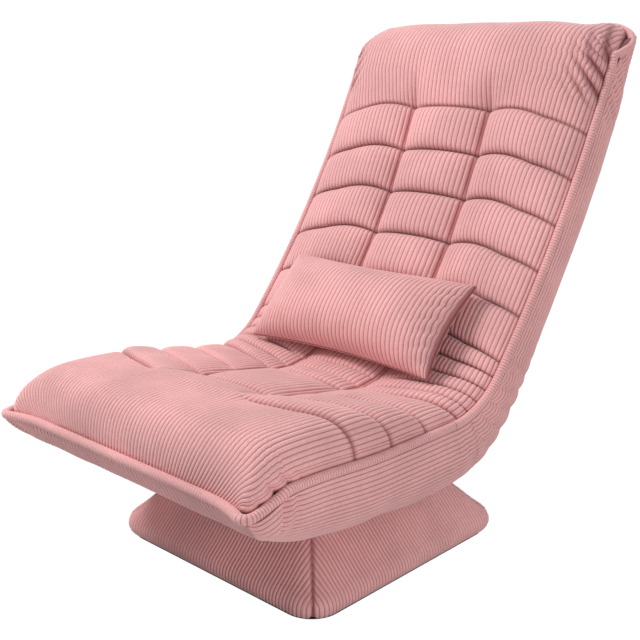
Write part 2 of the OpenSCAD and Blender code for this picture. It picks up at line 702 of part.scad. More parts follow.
// Seat frame
rail_wall = 2;
module seat_cross_rails() {
    color("dimgray") for (y = [-hole_at, hole_at]) translate([-seat_tube_x, y - rail_w / 2, rail_z])
        difference() {
            cube([2 * seat_tube_x, rail_w, rail_h]);
            translate([-cut_over, rail_wall, rail_wall])
                cube([2 * seat_tube_x + 2 * cut_over, rail_w - 2 * rail_wall, rail_h - 2 * rail_wall]);
            for (x = [-hole_at, hole_at]) translate([seat_tube_x + x, rail_w / 2, -cut_over])
                cylinder(h = rail_wall + 2 * cut_over, r = bolt_r);
        }
}

tube_sides = 12;
bend_turns = [15 : 15 : 90];
// The other half of a path that ends in the middle
function with_mirror(half) = concat(half, [for (p = reversed(half)) [-p[0], p[1], p[2]]]);

tube_tail = 46;
nose_inset = 78;
tube_end_y = crook_start_y + tube_tail;
frame_bend_y = bend_s - seat_front;
frame_nose = seat_front - nose_inset;
rise_r = bend_r;
sloped_len = (frame_nose + frame_bend_y) / cos(nose_angle) - bend_r - rise_r * tan(nose_angle / 2);
rise_end = [frame_bend_y - rise_r * sin(nose_angle), seat_tube_z + rise_r * (1 - cos(nose_angle))];
function nose_point(x, l) = [x, rise_end[0] - l * cos(nose_angle), rise_end[1] + l * sin(nose_angle)];
seat_tube_half = concat(
    [[seat_tube_x, tube_end_y, seat_tube_z]],
    [for (a = [0, nose_angle / 2]) [seat_tube_x, frame_bend_y - rise_r * sin(a),
        seat_tube_z + rise_r * (1 - cos(a))]],
    [nose_point(seat_tube_x, 0), nose_point(seat_tube_x, sloped_len)],
    [for (a = bend_turns) nose_point(seat_tube_x - bend_r * (1 - cos(a)), sloped_len + bend_r * sin(a))]);
module seat_frame_tube() {
    path = with_mirror(seat_tube_half);
    color("dimgray") tube(path, [for (p = path) [0, 0, 1]], tube_r, tube_wall, tube_sides);
}
// Frame of the sloped front, after the bend, with +y forward along the slope
module nose_frame() {
    translate([0, rise_r * sin(nose_angle), rise_r * (1 - cos(nose_angle))])
        rotate([nose_angle, 0, 0]) children();
}

// Strap that lies across two tubes at z = 0 and folds down their outer sides
module strap(half) {
    translate([-half, -web_w / 2, tube_r]) cube([2 * half, web_w, web_t]);
    for (side = [0, 1]) mirror([side, 0, 0]) translate([half, web_w / 2, 0]) rotate([90, 0, 0])
        linear_extrude(web_w) difference() {
            circle(r = tube_r + web_t);
            circle(r = tube_r);
            translate([-2 * tube_d, -tube_d]) square([2 * tube_d, 2 * tube_d]);
            translate([-tube_d, -2 * tube_d]) square([2 * tube_d, 2 * tube_d]);
        }
}
web_pitch = 55;
web_inset = 10;
level_straps = 3;
nose_straps = 2;
module seat_webbing() {
    color("black") {
        for (i = [0 : level_straps - 1]) translate([0, tube_end_y - web_inset - web_w / 2 - i * web_pitch,
            seat_tube_z]) strap(seat_tube_x);
        translate([0, frame_bend_y, seat_tube_z]) rotate([0, 0, 180]) nose_frame()
            for (i = [0 : nose_straps - 1]) translate([0, web_w / 2 + i * web_pitch, 0])
                strap(seat_tube_x);
    }
}

// Places its children at a length s of the back and a height n above it, with +y up the back
module on_back(s, n) {
    translate(at(0, back_start, 0)) rotate([crook_turn, 0, 0]) translate([0, 0, back_r])
        rotate([s / back_r * 180 / PI, 0, 0]) translate([0, 0, n - back_r]) children();
}

back_tube_x = seat_tube_x - tube_d - arm_t - joint_gap - arm_t;
// Point of the back at x, at a length s up it and a height n above its piping line
function back_at(x, s, n) = let (a = crook_turn + s / back_r * 180 / PI)
    [x, back_c[0] + (back_r - n) * sin(a), back_c[1] - (back_r - n) * cos(a)];
back_tube_half = concat(
    [for (i = [0 : back_tube_steps]) back_at(back_tube_x, mix(back_tube_low, back_tube_high,
        i / back_tube_steps), -back_tube_depth)],
    [for (a = bend_turns) back_at(back_tube_x - bend_r * (1 - cos(a)), back_tube_high + bend_r * sin(a),
        -back_tube_depth)]);
module back_frame_tube() {
    path = with_mirror(back_tube_half);
    color("dimgray") tube(path, [for (p = path) [0, -cos(90 - crook_turn - back_bow / 2),
        sin(90 - crook_turn - back_bow / 2)]], tube_r, tube_wall, tube_sides);
}
cross_tube_r = 8;
module back_cross_tube() {
    color("dimgray") for (s = [back_pitch, back_tube_high / 2 + back_pitch]) on_back(s, -back_tube_depth)
        translate([-back_tube_x + tube_r, 0, 0]) rotate([0, 90, 0])
            cylinder(h = 2 * (back_tube_x - tube_r), r = cross_tube_r);
}
back_straps = 6;
web_low = 20;
module back_webbing() {
    color("black") for (i = [0 : back_straps - 1])
        on_back(web_w / 2 + web_low + i * (back_tube_high - web_w - web_low) / (back_straps - 1),
            bow_sag - back_tube_depth)
            strap(back_tube_x);
}

// Hinges
arm_neck = 8;
arm_half = 9;
arm_near = 4;
arm_far = 64;
pin_r = pin_d / 2;
pin_head_r = pin_d * 0.8;
pin_head_t = 3;
housing_t = 6;
hinge_reach = (crook_r + hinge_depth) * sin(hinge_turn);
plane_depth = (crook_r + hinge_depth) * cos(hinge_turn) - crook_r;
seat_arm_x = seat_tube_x - tube_r - arm_t;
back_arm_x = seat_arm_x - joint_gap - arm_t;

// Stamped arm in its own plane: the pin at the origin, its tail along +x at a height rise
module arm_plate(tail_from, tail_to, rise, bore_r) {
    difference() {
        union() {
            cylinder(h = arm_t, r = housing_r);
            linear_extrude(arm_t)
                polygon([[0, housing_r - arm_neck], [tail_from, rise + arm_half], [tail_to, rise + arm_half],
                    [tail_to, rise - arm_half], [tail_from, rise - arm_half], [0, arm_neck - housing_r]]);
        }
        translate([0, 0, -cut_over]) cylinder(h = arm_t + 2 * cut_over, r = bore_r);
    }
}
module seat_arm() {
    color("gray") translate([seat_arm_x, hinge_yz[0], hinge_yz[1]]) {
        rotate([90, 0, 90]) mirror([1, 0, 0])
            arm_plate(hinge_yz[0] - tube_end_y + arm_near, hinge_yz[0] - tube_end_y + arm_far,
                plane_depth - seat_tube_depth, pin_r);
        translate([arm_t, 0, 0]) rotate([0, 90, 0]) difference() {
            cylinder(h = housing_t, r = housing_r);
            translate([0, 0, -cut_over]) cylinder(h = housing_t + 2 * cut_over, r = pin_r);
        }
    }
}
module back_arm() {
    color("gray") translate([back_arm_x, hinge_yz[0], hinge_yz[1]]) rotate([crook_turn, 0, 0])
        rotate([90, 0, 90])
            arm_plate(hinge_reach + back_tube_low + arm_near, hinge_reach + back_tube_low + arm_far,
                plane_depth - back_tube_depth, pin_r + run_gap);
}
module hinge_pin() {
    color("silver") translate([back_arm_x, hinge_yz[0], hinge_yz[1]]) rotate([0, 90, 0]) {
        translate([0, 0, -joint_gap]) cylinder(h = 2 * arm_t + 2 * joint_gap + housing_t, r = pin_r);
        translate([0, 0, -joint_gap - pin_head_t]) cylinder(h = pin_head_t, r = pin_head_r);
        translate([0, 0, 2 * arm_t + joint_gap + housing_t]) cylinder(h = pin_head_t, r = pin_head_r);
    }
}
module right_seat_arm() { seat_arm(); }
module left_seat_arm() { mirror([1, 0, 0]) seat_arm(); }
module right_back_arm() { back_arm(); }
module left_back_arm() { mirror([1, 0, 0]) back_arm(); }
module right_hinge_pin() { hinge_pin(); }
module left_hinge_pin() { mirror([1, 0, 0]) hinge_pin(); }

anti_slip_sheet();
base_board();
hip_ribs();
base_top_board();
rib_screws();
base_cover();
swivel_lower_plate();
lower_plate_screws();
king_bolt();
king_washer();
king_nut();
ball_cage();
bearing_balls();
swivel_upper_plate();
upper_plate_bolts();
seat_cross_rails();
seat_frame_tube();
seat_webbing();
seat_pad();
seat_shell();
seat_piping();
crook_pad();
crook_shell();
crook_piping();
left_seat_arm();
right_seat_arm();
left_hinge_pin();
right_hinge_pin();
back_frame_tube();
back_cross_tube();
back_webbing();
back_pad();
back_shell();
back_piping();
left_back_arm();
right_back_arm();
lumbar_pillow();
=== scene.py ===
"""Looks of a legless swivel recliner in wide-wale corduroy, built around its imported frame.

Lengths are in metres where nothing else is said, in the frame of the solids: Z up along the
swivel axis, the chair faces -Y. The seat, the crook and the back share one side profile, the
piping line, and their pads, shells and pipings are placed by a length along that line and a
height above it.
"""

import json
import logging
import math
from dataclasses import dataclass, field
from enum import Enum
from typing import Callable, Optional, Sequence

import bmesh
import bpy
import numpy as np
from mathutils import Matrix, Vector

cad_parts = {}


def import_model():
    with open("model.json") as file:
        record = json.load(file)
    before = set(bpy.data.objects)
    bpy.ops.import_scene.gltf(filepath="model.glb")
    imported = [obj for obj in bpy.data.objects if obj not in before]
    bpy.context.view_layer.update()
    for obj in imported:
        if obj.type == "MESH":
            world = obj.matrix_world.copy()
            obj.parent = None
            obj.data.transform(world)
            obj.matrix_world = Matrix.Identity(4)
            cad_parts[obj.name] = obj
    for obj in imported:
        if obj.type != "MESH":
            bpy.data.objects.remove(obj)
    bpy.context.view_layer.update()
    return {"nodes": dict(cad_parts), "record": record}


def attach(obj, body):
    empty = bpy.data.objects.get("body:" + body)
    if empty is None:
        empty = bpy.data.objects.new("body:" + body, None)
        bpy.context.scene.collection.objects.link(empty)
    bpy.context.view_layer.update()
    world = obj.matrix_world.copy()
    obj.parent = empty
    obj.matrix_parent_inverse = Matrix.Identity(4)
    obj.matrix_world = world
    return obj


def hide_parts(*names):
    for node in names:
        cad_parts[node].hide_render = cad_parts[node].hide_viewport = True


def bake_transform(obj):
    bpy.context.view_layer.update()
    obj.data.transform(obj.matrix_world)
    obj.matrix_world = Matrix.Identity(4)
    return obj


LOG = logging.getLogger("recliner")
MM = 0.001
WALE = 8.7 * MM
BASE_WALE = 6.7 * MM
SAMPLES = 5

Array = np.ndarray


class Slot(Enum):
    """Material slots of the record."""

    CORDUROY = "corduroy"
    SHELL = "corduroy_shell"
    PIPING = "corded_piping"
    PILLOW = "pillow_corduroy"
    ANTI_SLIP = "anti_slip"
    PLYWOOD = "plywood"
    PLATE = "plate_steel"
    BALLS = "ball_steel"
    CAGE = "cage_nylon"
    ZINC = "zinc"
    PAINT = "frame_paint"
    WEBBING = "webbing"


class Body(Enum):
    """Bodies of the record that the upholstery rides on."""

    BASE = "base"
    SEAT = "seat"
    BACK = "back"


# Shape functions


def clamp(t: Array) -> Array:
    """Limits t to the range 0 to 1."""
    return np.clip(t, 0.0, 1.0)


def smooth(t: Array) -> Array:
    """Eases t from 0 to 1."""
    t = clamp(t)
    return t * t * (3 - 2 * t)


def mix(a: Array, b: Array, t: Array) -> Array:
    """Goes from a to b as t goes from 0 to 1."""
    return a + (b - a) * t


def swell(t: Array) -> Array:
    """Swell of a stuffed cell from seam to seam, as a share of its rise."""
    return np.maximum(0, 1 - np.abs(2 * np.clip(t, 0, 1) - 1) ** 3.0) ** 0.56


def bell(x: Array, width: float) -> Array:
    """Bell curve of a half-width."""
    return np.exp(-((x / width) ** 2))


def folds(phase: Array) -> Array:
    """Round folds with sharp valleys between them, one for each whole number of phase."""
    return np.abs(np.cos(math.pi * phase)) ** 0.7 - 0.6


@dataclass(frozen=True)
class Gathers:
    """A run of gathers in fabric that is sewn to a piping or a seam.

    Attributes:
        depth: how deep they are.
        pitch: length from one to the next.
        slant: how much further along each lies for a length off the piping.
        sunk: how far they lie below the smooth surface, as a share of their depth.
        start: length at which one has its crest.
    """

    depth: float
    pitch: float
    slant: float
    sunk: float = 0.0
    start: float = 0.0

    def wave(self, s: Array, off: Array) -> Array:
        """Bare wave of the gathers at a length s, at places off the piping."""
        return folds((s - self.start - self.slant * off) / self.pitch)

    def height(self, s: Array, off: Array) -> Array:
        """Height of the gathers at a length s, at places off the piping."""
        return self.depth * (self.wave(s, off) - self.sunk)


def both_low(a: Array, b: Array) -> Array:
    """Joins two falls from 1 to 0 softly where they meet at a corner."""
    a, b = np.maximum(a, 1e-4), np.maximum(b, 1e-4)
    return (a**-3.0 + b**-3.0 - 1) ** (-1 / 3)


def curve_through(points: Sequence[Sequence[float]], count: int) -> Array:
    """Smooth curve through points.

    Args:
        points: places that the curve passes.
        count: points to return between each two of them.

    Returns:
        The curve's points, the first and last of them the given ends.
    """
    p = np.asarray(points, float)
    p = np.vstack([2 * p[0] - p[1], p, 2 * p[-1] - p[-2]])
    t = np.linspace(0, 1, count, endpoint=False)[:, None]
    runs = []
    for a, b, c, d in zip(p, p[1:], p[2:], p[3:]):
        runs.append(0.5 * (2 * b + (c - a) * t + (2 * a - 5 * b + 4 * c - d) * t**2
                           + (3 * b - a - 3 * c + d) * t**3))
    return np.vstack(runs + [p[-2][None]])


def running_length(points: Array) -> Array:
    """Length along a line of points, one point a row, up to each of them."""
    return np.concatenate([[0], np.cumsum(np.linalg.norm(np.diff(points, axis=0), axis=1))])


def even_places(points: Array, params: Array, count: int) -> Array:
    """Values of params that lie evenly along a line of points.

    Args:
        points: the line, one point a row.
        params: the parameter of each point, rising.
        count: how many steps to divide it into.

    Returns:
        count + 1 parameter values.
    """
    length = running_length(points)
    return np.interp(np.linspace(0, length[-1], count + 1), length, params)


def clustered(start: float, end: float, count: int) -> Array:
    """Places from start to just before end, closest together at both ends."""
    return start + (end - start) * (0.5 - 0.5 * np.cos(np.pi * np.arange(count) / count))


def ripple(x: Array, y: Array, seed: int) -> Array:
    """Slow unevenness of stuffed fabric, from -1 to 1, over a place in metres.

    Args:
        x: place across, in metres.
        y: place along, in metres.
        seed: which unevenness it is.

    Returns:
        The unevenness at each place.
    """
    rng = np.random.default_rng(seed)
    total = np.zeros(np.broadcast(x, y).shape)
    for _ in range(7):
        angle, wave, phase = rng.uniform(0, math.tau), rng.uniform(0.05, 0.16), rng.uniform(0, math.tau)
        total += np.sin((x * math.cos(angle) + y * math.sin(angle)) * math.tau / wave + phase)
    return total / 7


# Meshes


@dataclass
class Skin:
    """A closed skin made of rings, with its weave.

    Attributes:
        rings: points, as rings by points by 3.
        wale: count of wales at each point.
        along: length along the wales at each point, in wale widths.
        relief: how far the wales stand out at each point, 0 to 1; where it is low, the finish paints the
            shade of a seam or crevice.
        outer: how many points of a ring, from left to right, lie on its visible side; the ends
            are zipped shut between them and the rest, or are one face each where it is 0.
    """

    rings: Array
    wale: Array
    along: Array
    relief: Array
    outer: int = 0

    @classmethod
    def woven(cls, rings: Array, wale: Array, along: Array, relief: Array, outer: int) -> "Skin":
        """A skin whose wales run from ring to ring.

        Args:
            rings: points, as rings by points by 3.
            wale: count of wales at each point of a ring.
            along: length along the wales at each ring.
            relief: how far the wales stand out, at each point or each point of a ring; low relief is also
                painted shade.
            outer: how many points of a ring lie on its visible side.

        Returns:
            The skin.
        """
        shape = rings.shape[:2]
        return cls(rings, np.broadcast_to(wale, shape), np.broadcast_to(along[:, None] / WALE, shape),
                   np.broadcast_to(relief, shape), outer)

    def zipped(self, ring: int) -> list:
        """Faces that close a ring, from its visible points across to its hidden ones.

        Args:
            ring: number of the ring, the first or the last.

        Returns:
            Point numbers of each face, counted within the ring.
        """
        count = self.rings.shape[1]
        x = self.rings[ring, :, 0]
        near, far = list(range(self.outer)), list(range(count - 1, self.outer - 1, -1))
        i = j = 0
        faces = []
        while i < len(near) - 1 or j < len(far) - 1:
            if j == len(far) - 1 or (i < len(near) - 1 and x[near[i + 1]] <= x[far[j + 1]]):
                faces.append([near[i], near[i + 1], far[j]])
                i += 1
            else:
                faces.append([near[i], far[j + 1], far[j]])
                j += 1
        return faces

    def mesh(self, name: str) -> bpy.types.Mesh:
        """Makes the mesh, closed between the last point of a ring and its first.

        Args:
            name: the mesh's name.

        Returns:
            The mesh.
        """
        count, n = self.rings.shape[:2]
        a = (np.arange(count - 1)[:, None] * n + np.arange(n)[None]).ravel()
        b = (np.arange(count - 1)[:, None] * n + (np.arange(n)[None] + 1) % n).ravel()
        faces = np.stack([a, a + n, b + n, b], axis=1).tolist()
        if self.outer:
            last = (count - 1) * n
            faces += self.zipped(0) + [[last + k for k in reversed(face)] for face in self.zipped(-1)]
        else:
            faces.append(list(range(n)))
            faces.append(list(range(count * n - 1, (count - 1) * n - 1, -1)))
        return weave_mesh(name, self.rings.reshape(-1, 3), faces, self.wale.ravel(),
                          self.along.ravel(), self.relief.ravel())


def weave_mesh(name: str, points: Array, faces: list, wale: Array, along: Array,
               relief: Array) -> bpy.types.Mesh:
    """Makes a mesh that carries its weave.

    Args:
        name: name of the mesh.
        points: places of its points.
        faces: point numbers of each face.
        wale: count of wales at each point.
        along: length along the wales at each point, in wale widths.
        relief: share of the relief at each point, which the finish also reads to paint shade where it is low.

    Returns:
        The mesh, with a UV map and two point attributes.
    """
    mesh = bpy.data.meshes.new(name)
    mesh.from_pydata(points.tolist(), [], faces)
    mesh.polygons.foreach_set("use_smooth", np.ones(len(mesh.polygons), bool))
    corners = np.empty(len(mesh.loops), np.int32)
    mesh.loops.foreach_get("vertex_index", corners)
    uv = mesh.uv_layers.new(name="Weave")
    uv.data.foreach_set("uv", np.stack([wale, along], 1)[corners].astype(np.float32).ravel())
    for key, values in (("wale", wale), ("relief", relief)):
        mesh.attributes.new(key, "FLOAT", "POINT").data.foreach_set("value", values.astype(np.float32))
    mesh.validate(clean_customdata=False)
    mesh.update()
    return mesh


def point_out(mesh: bpy.types.Mesh) -> None:
    """Turns the faces of a closed mesh outwards, judged by its volume.

    Args:
        mesh: the mesh.
    """
    bm = bmesh.new()
    bm.from_mesh(mesh)
    if bm.calc_volume(signed=True) < 0:
        bmesh.ops.reverse_faces(bm, faces=bm.faces)
    bm.to_mesh(mesh)
    bm.free()


def grid_normals(points: Array) -> Array:
    """Unit normals of a grid of points, on the side of its rows crossed with its columns."""
    normal = np.cross(np.gradient(points, axis=1), np.gradient(points, axis=0))
    return normal / np.maximum(1e-9, np.linalg.norm(normal, axis=2, keepdims=True))


# Node trees


class Tree:
    """A small helper that adds and joins nodes."""

    def __init__(self, tree: bpy.types.NodeTree) -> None:
        """Keeps the tree."""
        self.tree = tree

    def add(self, kind: str, inputs: Optional[dict] = None, **settings: object) -> bpy.types.Node:
        """Adds a node.

        Args:
            kind: the node's type.
            inputs: socket values or sockets to join, by name or number.
            settings: the node's own settings.

        Returns:
            The node.
        """
        node = self.tree.nodes.new(kind)
        for key, value in settings.items():
            setattr(node, key, value)
        for key, value in (inputs or {}).items():
            self.feed(node, key, value)
        return node

    def feed(self, node: bpy.types.Node, key: object, value: object) -> None:
        """Sets an input of a node, or joins a socket to it.

        Args:
            node: the node.
            key: name or number of the input.
            value: the value, or the socket to read.
        """
        if isinstance(value, bpy.types.NodeSocket):
            self.tree.links.new(value, node.inputs[key])
        else:
            node.inputs[key].default_value = value

    def math(self, operation: str, a: object, b: object = 0.0) -> bpy.types.NodeSocket:
        """Adds a sum of two values or sockets, and returns its result."""
        return self.add("ShaderNodeMath", {0: a, 1: b}, operation=operation).outputs[0]

    def ramp(self, value: bpy.types.NodeSocket, low: float, high: float, out_low: float = 0.0,
             out_high: float = 1.0) -> bpy.types.NodeSocket:
        """Maps value smoothly from low..high to out_low..out_high."""
        return self.add("ShaderNodeMapRange", {"Value": value, 1: low, 2: high, 3: out_low, 4: out_high},
                        interpolation_type="SMOOTHSTEP").outputs[0]

    def blend(self, kind: str, share: object, a: object, b: object) -> bpy.types.NodeSocket:
        """Mixes two colours by a share and returns the result."""
        return self.add("ShaderNodeMix", {0: share, 6: a, 7: b}, data_type="RGBA", blend_type=kind).outputs[2]

    def away(self, count: bpy.types.NodeSocket) -> bpy.types.NodeSocket:
        """Distance from the middle of a wale or rib: 0 there, and 1 at each whole count."""
        middle = self.math("SUBTRACT", self.math("FRACT", count), 0.5)
        return self.math("MULTIPLY", self.math("ABSOLUTE", middle), 2.0)


class GeometryTree(Tree):
    """A Geometry Nodes tree with named inputs."""

    def __init__(self, name: str, sizes: dict[str, float]) -> None:
        """Makes the tree.

        Args:
            name: the tree's name.
            sizes: its inputs that are sizes, with their values.
        """
        super().__init__(bpy.data.node_groups.new(name, "GeometryNodeTree"))
        face = self.tree.interface
        face.new_socket("Geometry", in_out="INPUT", socket_type="NodeSocketGeometry")
        self.keys = {}
        for label, value in sizes.items():
            socket = face.new_socket(label, in_out="INPUT", socket_type="NodeSocketFloat")
            socket.default_value = value
            self.keys[label] = socket.identifier
        self.keys["Finish"] = face.new_socket("Finish", in_out="INPUT",
                                              socket_type="NodeSocketMaterial").identifier
        face.new_socket("Geometry", in_out="OUTPUT", socket_type="NodeSocketGeometry")
        self.start = self.add("NodeGroupInput")
        self.build()

    def build(self) -> None:
        """Adds the nodes; each kind of tree has its own."""
        raise NotImplementedError

    def close(self, geometry: bpy.types.NodeSocket) -> None:
        """Ends the tree in realized instances and a material.

        Args:
            geometry: what the tree has made so far.
        """
        real = self.add("GeometryNodeRealizeInstances", {"Geometry": geometry})
        dressed = self.add("GeometryNodeSetMaterial", {"Geometry": real.outputs[0],
                                                       "Material": self.start.outputs["Finish"]})
        self.add("NodeGroupOutput", {0: dressed.outputs[0]})

    def attribute(self, name: str) -> bpy.types.NodeSocket:
        """Reads a number that the points carry."""
        return self.add("GeometryNodeInputNamedAttribute", {"Name": name}, data_type="FLOAT").outputs[0]

    def grow(self, geometry: bpy.types.NodeSocket, height: bpy.types.NodeSocket) -> bpy.types.NodeSocket:
        """Moves the points of a geometry along their normals by a height.

        Args:
            geometry: the geometry.
            height: how far each point moves.

        Returns:
            The moved geometry.
        """
        normal = self.add("GeometryNodeInputNormal").outputs[0]
        offset = self.add("ShaderNodeVectorMath", {0: normal, "Scale": height}, operation="SCALE").outputs[0]
        return self.add("GeometryNodeSetPosition", {"Geometry": geometry, "Offset": offset}).outputs[0]

    def ridge(self, count: bpy.types.NodeSocket, power: float) -> bpy.types.NodeSocket:
        """Height of a round ridge, 0 at each whole count and 1 between them."""
        return self.math("SUBTRACT", 1.0, self.math("POWER", self.away(count), power))

    def apply(self, obj: bpy.types.Object, material: bpy.types.Material, **sizes: float) -> None:
        """Runs the tree on an object and leaves a plain mesh.

        Args:
            obj: the object.
            material: its finish.
            sizes: inputs to change, with spaces in their labels written as underscores.
        """
        modifier = obj.modifiers.new(self.tree.name, "NODES")
        modifier.node_group = self.tree
        modifier[self.keys["Finish"]] = material
        for label, value in sizes.items():
            modifier[self.keys[label.replace("_", " ")]] = value
        bake(obj)


class WaleTree(GeometryTree):
    """Raises the wales of corduroy on a mesh that counts them."""

    def __init__(self) -> None:
        """Makes the tree with its usual sizes."""
        super().__init__("Wale relief", {"Wale height": 1.6 * MM})

    def build(self) -> None:
        """Lifts each wale between two grooves, where the piece asks for it."""
        height = self.math("MULTIPLY", self.ridge(self.attribute("wale"), 2.6),
                           self.start.outputs["Wale height"])
        height = self.math("MULTIPLY", height, self.attribute("relief"))
        self.close(self.grow(self.start.outputs["Geometry"], height))


class CordTree(GeometryTree):
    """Sweeps a ribbed, covered cord along a line of edges."""

    def __init__(self) -> None:
        """Makes the tree with its usual sizes."""
        super().__init__("Covered cord", {"Cord radius": 7 * MM, "Rib pitch": 4.8 * MM,
                                          "Rib height": 0.8 * MM, "Step": 1.2 * MM})

    def build(self) -> None:
        """Sweeps a circle along the line, and ribs it by the length along it."""
        curve = self.add("GeometryNodeMeshToCurve", {0: self.start.outputs["Geometry"]})
        even = self.add("GeometryNodeResampleCurve", {"Curve": curve.outputs[0],
                                                      "Length": self.start.outputs["Step"]}, mode="LENGTH")
        length = self.add("GeometryNodeSplineParameter").outputs["Length"]
        ribs = self.math("DIVIDE", length, self.start.outputs["Rib pitch"])
        kept = self.add("GeometryNodeStoreNamedAttribute", {"Geometry": even.outputs[0], "Name": "wale",
                                                            "Value": ribs}, data_type="FLOAT", domain="POINT")
        circle = self.add("GeometryNodeCurvePrimitiveCircle", {"Resolution": 14,
                                                               "Radius": self.start.outputs["Cord radius"]})
        swept = self.add("GeometryNodeCurveToMesh", {"Curve": kept.outputs[0],
                                                     "Profile Curve": circle.outputs[0], "Fill Caps": True})
        height = self.math("MULTIPLY", self.math("SUBTRACT", self.ridge(self.attribute("wale"), 2.2), 1.0),
                           self.start.outputs["Rib height"])
        shaded = self.add("GeometryNodeSetShadeSmooth", {0: self.grow(swept.outputs[0], height)})
        self.close(shaded.outputs[0])


def bake(obj: bpy.types.Object) -> None:
    """Turns an object's modifiers into its plain mesh.

    Args:
        obj: the object.
    """
    bpy.context.view_layer.update()
    graph = bpy.context.evaluated_depsgraph_get()
    mesh = bpy.data.meshes.new_from_object(obj.evaluated_get(graph))
    obj.modifiers.clear()
    obj.data = mesh
    mesh.name = obj.name


def new_object(name: str, mesh: bpy.types.Mesh) -> bpy.types.Object:
    """Puts a mesh into the scene as an object at the origin.

    Args:
        name: the object's name.
        mesh: its mesh.

    Returns:
        The object.
    """
    obj = bpy.data.objects.new(name, mesh)
    bpy.context.scene.collection.objects.link(obj)
    return obj


def declare(obj: bpy.types.Object, node: str, slot: Slot, body: Optional[Body], bend: tuple = ()) -> None:
    """Hides the solid that a piece stands for, and ties the piece to the body that it moves with, or bakes
    its place where it has none.

    Args:
        obj: the piece.
        node: the solid that it stands for.
        slot: its material slot; not used.
        body: the body that it rides on, or none where it bends between seat and back.
        bend: the places where that bend starts and ends; not used.
    """
    if body is None:
        start, end = bend
        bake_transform(obj)
        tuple(start)
        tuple(end)
    else:
        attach(obj, body.value)
    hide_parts(node)
    LOG.info("%s: %d faces", obj.name, len(obj.data.polygons))


# Finishes


def linear(red: int, green: int, blue: int) -> tuple[float, float, float, float]:
    """Colour of a pixel value, as Blender wants it.

    Args:
        red: red, 0 to 255.
        green: green, 0 to 255.
        blue: blue, 0 to 255.

    Returns:
        The linear colour, opaque.
    """
    def channel(value: int) -> float:
        """One channel without its gamma."""
        share = value / 255
        return share / 12.92 if share <= 0.04045 else ((share + 0.055) / 1.055) ** 2.4
    return channel(red), channel(green), channel(blue), 1.0


class ShaderTree(Tree):
    """The nodes of a new material, round its main shader."""

    def __init__(self, name: str) -> None:
        """Makes the material.

        Args:
            name: the material's name.
        """
        self.material = bpy.data.materials.new(name)
        self.material.use_nodes = True
        super().__init__(self.material.node_tree)
        self.main = self.tree.nodes["Principled BSDF"]

    def place(self, stretch: Optional[tuple] = None) -> bpy.types.NodeSocket:
        """Place on the piece, for patterns.

        Args:
            stretch: how much finer a pattern is along each axis, where it has a direction.

        Returns:
            The place.
        """
        place = self.add("ShaderNodeTexCoord").outputs["Object"]
        if stretch is None:
            return place
        return self.add("ShaderNodeMapping", {"Vector": place, "Scale": stretch}).outputs[0]

    def noise(self, scale: float, stretch: Optional[tuple] = None, **inputs: float) -> bpy.types.NodeSocket:
        """Adds a noise over the piece and returns it."""
        inputs = {"Vector": self.place(stretch), "Scale": scale, **inputs}
        return self.add("ShaderNodeTexNoise", inputs).outputs[0]

    def grey(self, value: bpy.types.NodeSocket, low: float, high: float) -> bpy.types.NodeSocket:
        """Turns a noise into a grey that goes from low to high."""
        level = self.ramp(value, 0.3, 0.7, low, high)
        return self.add("ShaderNodeCombineColor", {0: level, 1: level, 2: level}).outputs[0]

    def surface(self, colour: bpy.types.NodeSocket, height: bpy.types.NodeSocket, strength: float,
                distance: float) -> None:
        """Gives the main shader its colour and bumps.

        Args:
            colour: the colour.
            height: what the bumps follow.
            strength: how strong they are.
            distance: how high they are.
        """
        self.feed(self.main, "Base Color", colour)
        bump = self.add("ShaderNodeBump", {"Strength": strength, "Distance": distance, "Height": height})
        self.feed(self.main, "Normal", bump.outputs[0])


